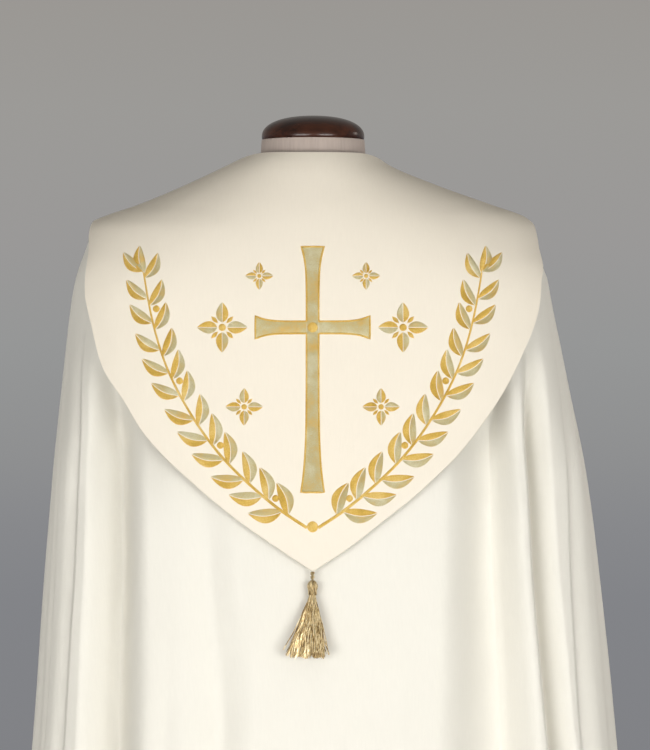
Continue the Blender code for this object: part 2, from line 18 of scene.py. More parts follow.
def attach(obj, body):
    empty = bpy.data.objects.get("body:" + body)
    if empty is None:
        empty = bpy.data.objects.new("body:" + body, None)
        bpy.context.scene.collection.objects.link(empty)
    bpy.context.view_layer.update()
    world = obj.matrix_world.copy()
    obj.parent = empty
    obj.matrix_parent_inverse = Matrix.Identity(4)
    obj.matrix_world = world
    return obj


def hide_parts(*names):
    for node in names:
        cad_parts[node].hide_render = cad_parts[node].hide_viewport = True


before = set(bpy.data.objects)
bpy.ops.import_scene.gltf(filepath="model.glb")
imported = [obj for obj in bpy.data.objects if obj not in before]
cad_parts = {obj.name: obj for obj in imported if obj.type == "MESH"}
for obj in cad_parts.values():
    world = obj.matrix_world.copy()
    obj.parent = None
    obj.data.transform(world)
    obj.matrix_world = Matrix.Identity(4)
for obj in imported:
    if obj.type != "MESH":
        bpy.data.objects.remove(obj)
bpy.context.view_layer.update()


def table(columns, *rows):
    """The rows as one array for each named column."""
    return dict(zip(columns.split(), np.array(rows, float).T))


# ---------------- sizes of the cloak
SEAM_GAP = 0.0010
CLOTH = 0.002
FRONT_TURN = 170.0

NECK_EDGE_BACK = 1.4955
NECK_EDGE_DROP = 0.036
NECK_EDGE_POWER = 2.8
HEM_BACK = 0.055
HEM_FRONT = 0.085
HEM_SIDE_RISE = 0.050

SECTIONS = table(
    "height left right back front square",
    (0.05, 0.442, 0.457, 0.337, 0.314, 2.2),
    (0.3, 0.395, 0.415, 0.287, 0.269, 2.25),
    (0.6, 0.346, 0.371, 0.232, 0.218, 2.5),
    (0.834, 0.315, 0.3415, 0.197, 0.18, 2.9),
    (1.002, 0.3045, 0.3235, 0.177, 0.157, 2.9),
    (1.17, 0.2905, 0.3015, 0.157, 0.137, 3.3),
    (1.282, 0.2795, 0.281, 0.143, 0.123, 3.9),
    (1.338, 0.2718, 0.269, 0.135, 0.112, 4),
    (1.362, 0.267, 0.2642, 0.13, 0.106, 3.7),
    (1.388, 0.2575, 0.2525, 0.123, 0.097, 3.1),
    (1.412, 0.2475, 0.2435, 0.115, 0.088, 2.5),
    (1.4225, 0.229, 0.233, 0.111, 0.083, 2.25),
    (1.436, 0.194, 0.199, 0.105, 0.077, 2.1),
    (1.46, 0.14, 0.135, 0.092, 0.066, 2),
    (1.484, 0.09, 0.08, 0.077, 0.06, 2),
    (1.497, 0.064, 0.063, 0.065, 0.057, 2),
)

FRONT_OPENING = table(
    "height half_gap",
    (0.05, 0.1),
    (0.45, 0.068),
    (0.834, 0.036),
    (1.17, 0.011),
    (1.28, 0.006),
    (1.33, 0.006),
    (1.4, 0.018),
    (1.47, 0.036),
    (1.5, 0.04),
)

# Valleys pressed into the sections. Turns and half widths are in degrees, depths in metres, at the
# chest, the hip and the hem. lean is where the bottom lies between the rims, and floor how round it is.
HEM_HEIGHT, HIP_HEIGHT, CHEST_HEIGHT = FOLD_HEIGHTS = np.array([0.060, 0.834, 1.170])
FOLD_TAIL = 0.10
VALLEY_FLOOR = 0.20
VALLEY_POWER = 1.75
FOLDS = table(
    "chest_turn hip_turn hem_turn start chest_depth hip_depth hem_depth "
    "chest_half hip_half hem_half lean floor",
    (-153.5, -152.5, -152, 1.24, 0.01, 0.024, 0.08, 6, 6.5, 8.5, 0, 0.2),
    (-132, -132, -132, 1.32, 0.018, 0.036, 0.104, 7, 7.5, 8.5, 0, 0.2),
    (-111, -111, -112.5, 1.35, 0.02, 0.042, 0.112, 6.5, 6.5, 8.8, 0, 0.2),
    (-90, -89.5, -94, 1.35, 0.014, 0.028, 0.088, 5.5, 5.5, 8, 0, 0.2),
    (-73.5, -73, -76.5, 1.34, 0.003, 0.003, 0.098, 2.4, 2.4, 7.5, 0.3, 0.2),
    (-66.5, -66.4, -59.5, 1.35, 0.004, 0.004, 0.09, 2.4, 2.6, 7.5, 0.5, 0.2),
    (-55.8, -52.8, -42, 1.32, 0.038, 0.046, 0.1, 6.6, 8, 8, -0.35, 0.3),
    (-37.5, -27.6, -23.5, 1.22, 0.003, 0.015, 0.09, 8, 11, 9, 0, 0.2),
    (2, 5, 2, 0.854, 0, 0, 0.098, 8, 8, 11, 0, 0.2),
    (49.5, 46, 34.3, 1.32, 0.036, 0.045, 0.102, 7.4, 11, 12.5, 0.48, 0.7),
    (61, 61.2, 55.5, 1.34, 0.028, 0.03, 0.098, 3.2, 3.4, 8, 0, 0.2),
    (71, 68.4, 73.5, 1.38, 0.005, 0.006, 0.104, 3, 3.2, 8, -0.5, 0.2),
    (92, 91.5, 92, 1.36, 0.016, 0.032, 0.092, 6, 6, 8, 0, 0.2),
    (113, 113.5, 114, 1.34, 0.02, 0.042, 0.116, 7.5, 7.5, 9.5, 0, 0.2),
    (134, 134.5, 136, 1.28, 0.016, 0.034, 0.09, 7, 7, 8, 0, 0.2),
    (155, 154.5, 154.5, 1.2, 0.005, 0.022, 0.084, 5.5, 5.5, 8, 0, 0.2),
)
FOLD_COUNT = len(FOLDS["start"])
SEAMS_AFTER_FOLDS = (2, 12)

# Lesser creases between the folds: turn and height of the top, turn and height of the low end,
# depth in metres and half width in degrees. Each fades out at both ends.
CREASES = (
    (-77, 1.3, -75.5, 0.4, 0.0035, 3),
    (-43, 1.08, -35, 0.2, 0.0025, 3.5),
    (-8, 0.98, -7, -0.3, 0.0012, 4),
    (22, 0.95, 20, -0.4, 0.0012, 4),
    (33, 1.1, 28, 0.45, 0.001, 3),
    (78, 1.32, 77.5, -0.2, 0.006, 3),
    (102.5, 1.3, 102.5, 0.05, 0.006, 2.8),
    (124, 1.22, 124.5, -0.3, 0.009, 3),
    (145.5, 1.12, 145, -0.2, 0.007, 2.6),
    (163.5, 1.05, 163, -0.3, 0.006, 2.4),
    (-100, 1.28, -100, -0.2, 0.006, 2.6),
    (-121.5, 1.24, -121.5, 0.05, 0.007, 2.8),
    (-142.5, 1.15, -142.5, -0.3, 0.008, 2.8),
    (-163.5, 1.02, -163.5, -0.1, 0.006, 2.2),
)
CREASE_FADE = 1.3
# Slow unevenness over the whole cloth: depth, waves round it, waves down it, and phase.
UNEVEN = (
    (0.0007, 0.061, 5.1, 0.4),
    (0.0006, 0.137, -8.3, 2.1),
    (0.0004, 0.293, 13.7, 4.4),
    (0.0003, 0.531, -19.1, 1.3),
)
# Where the cloak falls in behind the hood's sides. It moves forward more and more from the first
# turn to the second, and less and less from the third to the fourth. The next numbers are the middle
# height, half the height and the depth.
HOLLOWS = (
    (-53, -75, -95, -130, 1.275, 0.14, 0.044),
    (-36, -51, -55, -68, 1.205, 0.12, 0.02),
    (54, 75, 95, 130, 1.28, 0.14, 0.044),
    (36, 50, 54, 67, 1.215, 0.12, 0.02),
)

CLOAK_ROWS = 140
FOLD_COLUMNS = 24
CREST_COLUMNS = 9
SEAM_STRIP = 0.0025
HEM_TURN_UP = 0.035
HEM_RIDGE = 0.00035
HEM_RIDGE_HALF = 0.0035
HEM_SINK = 0.5
DROP_SAMPLES = 700
EDGE_ROUND = 0.3

# ---------------- sizes of the hood and the band
# How far down the cloth from the neck the hood's edge lies.
HOOD_EDGE = table(
    "turn left right",
    (0, 0.472, 0.472),
    (12, 0.4492, 0.4499),
    (25, 0.4256, 0.4229),
    (33, 0.4092, 0.4067),
    (40, 0.3931, 0.3896),
    (45, 0.381, 0.3757),
    (50, 0.3646, 0.3554),
    (54, 0.3408, 0.3347),
    (58, 0.3203, 0.3079),
    (62, 0.277, 0.281),
    (66, 0.243, 0.2475),
    (70, 0.223, 0.234),
    (76, 0.205, 0.213),
    (84, 0.188, 0.194),
    (100, 0.172, 0.176),
    (130, 0.156, 0.158),
    (FRONT_TURN, 0.132, 0.132),
)
HOOD_FRONT_TURN = 169.0
HOOD_WALL = 0.0025
HOOD_AIR_NECK = 0.0042
HOOD_AIR_TIP = 0.0064
HOOD_DRAPE = 0.0004
HOOD_WAVES = ((0.19, 0.7), (0.083, 2.9))
HOOD_COLUMNS = 281
HOOD_ROWS = 80
HOOD_HEM = 0.011
HOOD_HEM_SOFT = 0.002
HOOD_HEM_RIDGE = 0.00022

MORSE_HEIGHT = 1.298
MORSE_DEPTH = 0.056
MORSE_HALF_TURN = 33.0
MORSE_AIR = 0.0012
MORSE_ROWS, MORSE_COLUMNS = 14, 81

# ---------------- sizes of the embroidery
STITCH_RAISE = 0.0007
STITCH_ROOT = 0.0006
DOME_POWER = 0.55
PATCH_END = 0.15
THREAD_SHIFT = 0.37
# From here in millimetres as seen square on from behind: across from the centre line, and up from
# the hood's point.
CROSS_TOP, CROSS_FOOT, CROSS_ARMS, CROSS_REACH = 350.0, 84.0, 262.0, 62.0
CROSS_WAIST, CROSS_FLARE = 6.5, 12.5
CROSS_CORD = 1.1
BRANCH = ((-6, 46), (-32, 63), (-63, 88), (-97, 121), (-129, 164), (-156, 214), (-174, 270), (-184, 322))
BRANCH_POINTS = 90
BRANCH_KNOT = (0.0, 47.0)
BRANCH_LEAVES = 12
LEAF_LENGTHS = (36.0, 30.0)
LEAF_ANGLE = math.radians(36.0)
LEAF_STALK = 2.0
BERRY_RADIUS, BERRY_ASIDE, BERRY_BACK, BERRY_EVERY = 3.8, 6.8, 3.5, 3
ROSETTES = ((-98.0, 262.0, 27.0), (-74.0, 176.0, 20.0), (-58.0, 318.0, 15.0))
# For leaves and for petals: the widest half as a share of the length, how far that is skewed to the
# root, the least half width, the groove for the rib and the threads' slant.
LEAF_SHAPE = (0.21, 0.85, 0.25, 0.35, -0.9)
PETAL_SHAPE = (0.24, 0.8, 0.2, 0.3, -0.7)
LEAF_BEND = 0.10
PETAL_START, BUD_START, BUD_LENGTH, BUD_HALF, EYE = 0.20, 0.24, 0.38, 0.08, 0.15

# ---------------- sizes of the tassel
TASSEL_CORD_LENGTH = 0.0090
TASSEL_HEAD_RADIUS = 0.0058
TASSEL_HEAD_HEIGHT = 0.0155
TASSEL_WAIST_RADIUS = 0.0029
TASSEL_SKIRT = 0.0690
TASSEL_HALF_WIDTH = 0.0268
TASSEL_HALF_DEPTH = 0.0095
TASSEL_LEAN = math.radians(7.0)
TASSEL_CLEAR = 0.0065
TASSEL_SIDEWAYS = -0.0066
CORD_START = 0.0011
CORD_TURNS, CORD_SWING, CORD_STRAND = 4.5, 0.00075, 0.00062
# Each knot's drop below the cord's start and its radius.
KNOTS = ((0.0014, 0.0017), (0.0056, 0.0016))
KNOT_TURNS, KNOT_PITCH, KNOT_THREAD = 1.6, 0.0022, 0.0008
HEAD_OUTLINE = table("run wide", (0, 0.45), (0.14, 0.82), (0.38, 1), (0.62, 0.86), (0.8, 0.74), (1, 0.78))
HEAD_CORE = table(
    "run radius", (0.02, 0.002), (0.2, 0.004), (0.4, 0.0048), (0.6, 0.0044), (0.8, 0.0038), (1, 0.0036)
)
HEAD_THREADS = 38
HEAD_THREAD = 0.0005
BINDING_TURNS, BINDING_RADIUS, BINDING_THREAD = 7, 0.0045, 0.00034
# Locks, strands in each, their scatter, how far out they reach and how much shorter they may be. The
# first row is the body of the skirt and the second the flared locks round it.
SKIRT_LOCKS = ((44, 17, 0.060, 0.97, 0.08), (34, 2, 0.030, 1.00, 0.14))
SKIRT_OPENING = table(
    "run body flared",
    (0, 0, 0),
    (0.11, 0.07, 0.07),
    (0.27, 0.24, 0.24),
    (0.43, 0.38, 0.38),
    (0.6, 0.51, 0.53),
    (0.74, 0.6, 0.67),
    (0.87, 0.66, 0.82),
    (1, 0.69, 1),
)
STRAND_POINTS = 15
STRAND_RADIUS = 0.00038
STRAND_STEP = 0.0011
LOCK_WAVE, STRAND_CURL = 0.0010, 0.00035
LOCK_BEATS, CURL_BEATS = (1.1, 2.3), 3.1
FLARED_SPREAD = (0.72, 0.98)
GOLDEN_ANGLE = math.pi * (3 - math.sqrt(5))
STRAND_SHORTER = 0.03
SKIRT_TUCK = 0.002
# How far along the thread a lock's painted shade and glints may start, and how far one lock's lie from
# the next's.
LOCK_PAINTED_SHADE, LOCK_STEP = 0.016, 0.02
JOINT_GAP = 0.0003

# ---------------- sizes of the form and stand
FORM = table(
    "height side back front square",
    (0.8, 0.176, 0.112, 0.1, 2.2),
    (0.806, 0.18, 0.116, 0.104, 2.2),
    (0.9, 0.184, 0.125, 0.11, 2.3),
    (0.98, 0.17, 0.116, 0.104, 2.3),
    (1.07, 0.152, 0.106, 0.099, 2.3),
    (1.16, 0.163, 0.118, 0.109, 2.3),
    (1.24, 0.184, 0.13, 0.117, 2.4),
    (1.3, 0.203, 0.132, 0.114, 2.4),
    (1.35, 0.222, 0.126, 0.103, 2.3),
    (1.385, 0.231, 0.117, 0.091, 2.15),
    (1.405, 0.229, 0.11, 0.082, 2.05),
    (1.42, 0.203, 0.104, 0.075, 2),
    (1.44, 0.15, 0.093, 0.066, 2),
    (1.458, 0.104, 0.081, 0.06, 2),
    (1.475, 0.074, 0.067, 0.0575, 2),
    (1.49, 0.06, 0.0585, 0.0575, 2),
    (1.517, 0.0575, 0.0575, 0.0575, 2),
)
FORM_LOW, FORM_TOP = 0.800, 1.517
FORM_COLUMNS = 96
# Rows from the top to below the shoulders, then fewer to the metre down to the low end.
FORM_HEIGHTS = np.concatenate([np.linspace(FORM_TOP, 1.40, 60), np.linspace(1.397, FORM_LOW, 90)])
CAP_RADIUS, CAP_HEIGHT, CAP_RIM, CAP_SQUARE = 0.0575, 0.0268, 0.003, 2.3
POLE_RADIUS, POLE_CHAMFER = 0.016, 0.0008
BASE_RADIUS, BASE_THICK, BASE_ROUND = 0.200, 0.024, 0.008
SOCKET_RADIUS, SOCKET_HEIGHT, SOCKET_WALL = 0.030, 0.035, 0.006
FLANGE_THICK, FLARE_WIDE, FLARE_HIGH = 0.0045, 0.008, 0.006
EDGE = 0.001

# ---------------- the camera's view and the studio
CAMERA_DISTANCE = 4.5
CAMERA_HEIGHT = 1.254
CAMERA_SIDE = 0.0134
VIEW_HEIGHT = 0.84
SENSOR = 36.0

FLOOR_RADIUS, FLOOR_FADE_START, FLOOR_FADE_END = 7.8, 4.5, 7.6
# The backdrop's colour by how far a line of sight rises, as a share of its length.
BACKDROP = (
    (-0.5, (0.16, 0.16, 0.165)),
    (-0.091, (0.221, 0.225, 0.239)),
    (-0.056, (0.226, 0.231, 0.246)),
    (-0.037, (0.246, 0.25, 0.262)),
    (-0.019, (0.276, 0.279, 0.283)),
    (0.007, (0.305, 0.309, 0.309)),
    (0.033, (0.325, 0.318, 0.314)),
    (0.066, (0.333, 0.325, 0.312)),
    (0.0925, (0.328, 0.314, 0.296)),
    (0.5, (0.275, 0.265, 0.25)),
)
WHITE, WARM = (1, 1, 1), (1.00, 1.00, 0.985)
# Name, turn, distance, height, size, power, colour, the height it points at, the spread of its beam
# in degrees, and whether gloss shows it.
LIGHTS = (
    ("softbox_left", -25, 3.2, 0.85, (1.85, 1.3), 16.5, WARM, 0.95, 90, True),
    ("softbox_right", 28, 3.2, 0.85, (1.85, 1.3), 16.8, WARM, 0.95, 90, True),
    ("softbox_small", 112, 3, 2.1, (0.45, 0.45), 3, (1, 0.93, 0.85), 1.53, 180, True),
    ("softbox_above", 10, 2.2, 3.4, (2, 1), 6, WHITE, 1.15, 180, False),
    ("softbox_behind_left", -145, 4.2, 0.9, (2.2, 1.3), 14, WHITE, 0.95, 90, False),
    ("softbox_behind_right", 145, 4.2, 0.9, (2.2, 1.3), 14, (1, 0.93, 0.87), 0.95, 90, False),
)


# ---------------- numbers and shapes
def hermite(xs, ys, slopes, x):
    """The cubic curve through the points (xs, ys) with these slopes at them, read at x."""
    gaps = np.diff(xs)
    x = np.clip(x, xs[0], xs[-1])
    k = np.clip(np.searchsorted(xs, x, side="right") - 1, 0, len(xs) - 2)
    t = (x - xs[k]) / gaps[k]
    start = (1 + 2 * t) * (1 - t) ** 2 * ys[k] + t * (1 - t) ** 2 * gaps[k] * slopes[k]
    end = t * t * (3 - 2 * t) * ys[k + 1] + t * t * (t - 1) * gaps[k] * slopes[k + 1]
    return start + end


def smooth(xs, ys, x):
    """A curve through the points (xs, ys) that never overshoots them, read at x."""
    gaps = np.diff(xs)
    rises = np.diff(ys) / gaps
    slopes = np.concatenate([rises[:1], np.zeros(len(xs) - 2), rises[-1:]])
    for i in range(1, len(xs) - 1):
        before, after = rises[i - 1], rises[i]
        if before * after > 0:
            near, far = 2 * gaps[i] + gaps[i - 1], gaps[i] + 2 * gaps[i - 1]
            slopes[i] = (near + far) / (near / before + far / after)
    return hermite(xs, ys, slopes, x)


def natural(xs, ys, x):
    """A natural cubic spline through the points (xs, ys), read at x."""
    gaps = np.diff(xs)
    rises = np.diff(ys) / gaps
    system = np.eye(len(xs))
    for i in range(1, len(xs) - 1):
        system[i, i - 1 : i + 2] = gaps[i - 1], 2 * (gaps[i - 1] + gaps[i]), gaps[i]
    bends = np.linalg.solve(system, np.concatenate([[0], 6 * np.diff(rises), [0]]))
    slopes = rises - gaps * (2 * bends[:-1] + bends[1:]) / 6
    last = rises[-1] + gaps[-1] * (bends[-2] + 2 * bends[-1]) / 6
    return hermite(xs, ys, np.append(slopes, last), x)


def ease(x):
    """0 up to x = 0, 1 from x = 1, smooth between."""
    x = np.clip(x, 0, 1)
    return x * x * (3 - 2 * x)


def unit(vectors):
    return vectors / np.maximum(np.linalg.norm(vectors, axis=-1, keepdims=True), 1e-12)


def run_of(line):
    """How far along a line each of its points lies."""
    return np.concatenate([[0], np.cumsum(np.linalg.norm(np.diff(line, axis=0), axis=1))])


def circle(count):
    """The turns of a closed ring of points, in radians."""
    return np.arange(count) * 2 * math.pi / count


def quarter(count):
    """Sines and cosines through a quarter turn."""
    turn = np.linspace(0, math.pi / 2, count)
    return list(zip(np.sin(turn), np.cos(turn)))


def around_axis(turn, radius, height):
    """Points at a turn (radians), a distance from the axis and a height."""
    return np.stack([radius * np.sin(turn), -radius * np.cos(turn), height + 0 * turn], -1)


def read(rows, column, height):
    return smooth(rows["height"], rows[column], height)


def section_radius(rows, left, right, turn, height):
    """Distance from the axis to a rounded section whose sizes are read from the rows of a table."""
    side = np.where(turn < 0, read(rows, left, height), read(rows, right, height))
    depth = np.where(np.cos(turn) > 0, read(rows, "back", height), read(rows, "front", height))
    square = read(rows, "square", height)
    across = np.abs(np.sin(turn) / side) ** square
    along = np.abs(np.cos(turn) / depth) ** square
    return (across + along) ** (-1 / square)


def crest_radius(turn, height):
    """Distance from the axis to the cloak's outermost folds."""
    return section_radius(SECTIONS, "left", "right", turn, height)


def true_turn(nominal, height):
    """Radians about the axis for a nominal turn in degrees, squeezed by the front opening."""
    gap = read(FRONT_OPENING, "half_gap", height)
    edge = math.pi - np.arctan2(gap, read(SECTIONS, "front", height))
    return nominal / FRONT_TURN * edge


def on_crests(nominal, height):
    turn = true_turn(nominal, height)
    return around_axis(turn, crest_radius(turn, height), height)


def outward(nominal, height, level):
    """The outward normal of the crest surface, or only its level part."""
    step, drop = 0.5, 0.002
    around = on_crests(nominal + step, height) - on_crests(nominal - step, height)
    if level:
        down = np.broadcast_to([0.0, 0.0, -1.0], around.shape)
    else:
        down = on_crests(nominal, height - drop) - on_crests(nominal, height + drop)
    return unit(np.cross(down, around))


def fold_column(name, fold, height):
    """A fold's turn or half width at a height, by a curve through its values at three heights."""
    values = np.array([FOLDS[f"{place}_{name}"][fold] for place in ("hem", "hip", "chest")])
    return smooth(FOLD_HEIGHTS, values, height)


def fold_depth(fold, height):
    start = FOLDS["start"][fold]
    heights = [HEM_HEIGHT, HIP_HEIGHT, start, start + FOLD_TAIL]
    depths = [FOLDS["hem_depth"][fold], FOLDS["hip_depth"][fold], 0, 0]
    if start > CHEST_HEIGHT:
        heights.insert(2, CHEST_HEIGHT)
        depths.insert(2, FOLDS["chest_depth"][fold])
    return smooth(np.array(heights), np.array(depths), height)


def valley(offset, lean=0.0, floor=VALLEY_FLOOR):
    """The depth of a valley across its width, 1 at its bottom."""
    offset = np.clip(offset, -1, 1)
    away = np.abs(offset - lean) / np.where(offset < lean, 1 + lean, 1 - lean)
    rise = (np.hypot(away, floor) - floor) / (math.hypot(1, floor) - floor)
    return (1 - rise) ** VALLEY_POWER


def crease_depth(nominal, height):
    """The lesser creases and the slow unevenness, as a depth below the folds' own form."""
    depth = 0
    for top_turn, top, low_turn, low, deepest, half in CREASES:
        along = (top - height) / (top - low)
        turn = top_turn + (low_turn - top_turn) * along
        fade = np.sin(math.pi * np.clip(along, 0, 1)) ** CREASE_FADE
        depth = depth + deepest * fade * valley((nominal - turn) / half)
    for deepest, across, down, phase in UNEVEN:
        depth = depth + deepest * (1 + np.sin(nominal * across + height * down + phase))
    return depth


def hollow_shift(nominal, height):
    """How far the cloak lies forward of its crest surface behind the hood's sides."""
    shift = 0
    for start, full, easing, gone, middle, half_height, deepest in HOLLOWS:
        across = ease((nominal - start) / (full - start)) * ease((nominal - gone) / (easing - gone))
        along = np.clip((height - middle) / half_height, -1, 1)
        shift = shift + deepest * across * (1 - along**2) ** 2
    return shift


def on_cloak(nominal, height):
    """A point of the cloak's outer face, folds and creases included."""
    depth = crease_depth(nominal, height)
    for fold in range(FOLD_COUNT):
        offset = (nominal - fold_column("turn", fold, height)) / fold_column("half", fold, height)
        shape = valley(offset, FOLDS["lean"][fold], FOLDS["floor"][fold])
        depth = depth + fold_depth(fold, height) * shape
    points = on_crests(nominal, height) - outward(nominal, height, level=True) * depth[..., None]
    points[..., 1] += hollow_shift(nominal, height)
    return points


def neck_height(nominal):
    forward = 0.5 - 0.5 * np.cos(np.radians(nominal))
    return NECK_EDGE_BACK - NECK_EDGE_DROP * forward**NECK_EDGE_POWER


def hem_height(nominal):
    turn = np.radians(nominal)
    level = (HEM_BACK + HEM_FRONT) / 2 + (HEM_BACK - HEM_FRONT) / 2 * np.cos(turn)
    return level + HEM_SIDE_RISE * np.sin(turn) ** 2


# A line down the cloth is a function from a height to a nominal turn.
def upright(turn):
    """The line that keeps one nominal turn."""
    return lambda height: turn + 0 * height


def fold_rim(fold, side):
    """The line along a valley's left (-1) or right (1) rim."""
    return lambda height: fold_column("turn", fold, height) + side * fold_column("half", fold, height)


def between(first, last, share):
    """The line at a share of the way from the first line to the last."""
    return lambda height: (1 - share) * first(height) + share * last(height)


def beside(line, distance):
    """The line so many metres to the right of another."""

    def shifted(height):
        radius = crest_radius(true_turn(line(height), height), height)
        return line(height) + np.degrees(distance / radius)

    return shifted


def heights_down(line, drops, in_shares=False):
    """Heights reached by following a line down the cloth from the neck edge, by drops in metres or in
    shares of the way to the hem."""
    top_turn = float(line(np.array(NECK_EDGE_BACK)))
    heights = np.linspace(neck_height(top_turn), hem_height(top_turn), DROP_SAMPLES)
    run = run_of(on_crests(line(heights), heights))
    return np.interp(drops * (run[-1] if in_shares else 1), run, heights)


# ---------------- meshes
def add_object(name, data):
    obj = bpy.data.objects.new(name, data)
    bpy.context.scene.collection.objects.link(obj)
    return obj


def add_mesh(name, points, faces, material, smooth_angle=40):
    data = bpy.data.meshes.new(name)
    data.from_pydata([tuple(p) for p in points], [], [tuple(int(i) for i in f) for f in faces])
    data.materials.append(material)
    data.shade_smooth()
    data.set_sharp_from_angle(angle=math.radians(smooth_angle))
    return add_object(name, data)


def note(obj, name, vectors):
    """Keeps a place on the flat cloth or thread with each point, for the material to read."""
    layer = obj.data.attributes.new(name, "FLOAT_VECTOR", "POINT")
    layer.data.foreach_set("vector", np.asarray(vectors, np.float32).ravel())


def dress(piece, node):
    """The piece rides on the only body, stands for a CAD node and takes its finish from a slot."""
    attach(piece, "root")
    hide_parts(node)
    return piece


def grid_faces(rows, columns, first=0, ring=False, flip=False):
    """Quads of a grid of points, the rows running down and the columns to the right."""
    grid = np.arange(rows * columns).reshape(rows, columns) + first
    if ring:
        grid = np.concatenate([grid, grid[:, :1]], 1)
    quads = np.stack([grid[:-1, :-1], grid[1:, :-1], grid[1:, 1:], grid[:-1, 1:]], -1).reshape(-1, 4)
    return quads[:, ::-1] if flip else quads


def loop_faces(first, second):
    """Quads between two closed loops of points."""
    return np.stack([first, second, np.roll(second, -1), np.roll(first, -1)], -1)


def both_faces(rows, columns):
    """The faces of two like grids of points, the second behind the first and facing away."""
    return [grid_faces(rows, columns), grid_faces(rows, columns, rows * columns, flip=True)]


def grid_normals(points):
    return unit(np.cross(np.gradient(points, axis=0), np.gradient(points, axis=1)))


def rim_of(rows, columns):
    """Indices round the edge of a grid, against the clock as seen from outside."""
    grid = np.arange(rows * columns).reshape(rows, columns)
    return np.concatenate([grid[:, 0], grid[-1, 1:], grid[-2::-1, -1], grid[0, -2:0:-1]])


def weave_places(points):
    """Each point's place on the flat cloth: across from the middle column, and down."""
    width = np.array([run_of(row) for row in points])
    width -= width[:, points.shape[1] // 2][:, None]
    drop = np.array([run_of(column) for column in np.swapaxes(points, 0, 1)]).T
    return np.stack([width, drop, 0 * drop], -1).reshape(-1, 3)


def shell(name, points, wall, material):
    """A closed sheet of cloth: points is its outer face, rows down and columns to the right, and its
    edges are rounded."""
    rows, columns = points.shape[:2]
    count = rows * columns
    inner = points - grid_normals(points) * wall
    down, across = unit(np.gradient(points, axis=0)), unit(np.gradient(points, axis=1))
    outside = np.zeros_like(points)
    outside[0] -= down[0]
    outside[-1] += down[-1]
    outside[:, 0] -= across[:, 0]
    outside[:, -1] += across[:, -1]
    rim = rim_of(rows, columns)
    middle = ((points + inner) / 2 + unit(outside) * wall * EDGE_ROUND).reshape(-1, 3)[rim]
    mid = np.arange(len(rim)) + 2 * count
    faces = [*both_faces(rows, columns), loop_faces(rim, mid), loop_faces(mid, rim + count)]
    every = np.concatenate([points.reshape(-1, 3), inner.reshape(-1, 3), middle])
    obj = add_mesh(name, every, np.concatenate(faces), material)
    flat = weave_places(points)
    note(obj, "weave", np.concatenate([flat, flat, flat[rim]]))
    return obj


def tubes(paths, radii, sides):
    """Points and faces of closed tubes along paths, an array of strands by points by 3. radii is
    one number, or one for each point of a path."""
    paths = np.asarray(paths, float)
    count, length = paths.shape[:2]
    along = unit(np.gradient(paths, axis=1))
    start = unit(np.cross(along, np.array([0.31, 0.83, 0.46])))
    other = np.cross(along, start)
    turn = circle(sides)
    ring = np.cos(turn)[:, None] * start[:, :, None] + np.sin(turn)[:, None] * other[:, :, None]
    wide = np.broadcast_to(np.asarray(radii, float), (count, length))[:, :, None, None]
    points = paths[:, :, None] + ring * wide
    faces = []
    for strand in range(count):
        first = strand * length * sides
        faces += grid_faces(length, sides, first, ring=True, flip=True).tolist()
        faces.append([first + i for i in range(sides)])
        faces.append([first + (length - 1) * sides + i for i in reversed(range(sides))])
    return points.reshape(-1, 3), faces


def joined(parts):
    """One set of points and faces from several."""
    points, faces, first = [], [], 0
    for some_points, some_faces in parts:
        points.append(some_points)
        faces += [[i + first for i in face] for face in some_faces]
        first += len(some_points)
    return np.concatenate(points), faces


def lathe(name, profile, material, steps, foot=0.0):
    """A solid turned about Z from (radius, height) points, top to bottom, closed on the axis and
    standing on a foot height."""
    profile = np.array(profile, float)
    turn = circle(steps)
    ring = np.stack([np.cos(turn), np.sin(turn)], -1)
    rings = [np.concatenate([ring * r, np.full((steps, 1), z)], 1) for r, z in profile[1:-1]]
    points = np.concatenate([*rings, [[0, 0, profile[0, 1]]], [[0, 0, profile[-1, 1]]]])
    rows = len(profile) - 2
    faces = grid_faces(rows, steps, ring=True).tolist()
    top, low, base = rows * steps, rows * steps + 1, (rows - 1) * steps
    faces += [[top, i, (i + 1) % steps] for i in range(steps)]
    faces += [[low, base + (i + 1) % steps, base + i] for i in range(steps)]
    return add_mesh(name, points + np.array([0, 0, foot]), faces, material, smooth_angle=35)


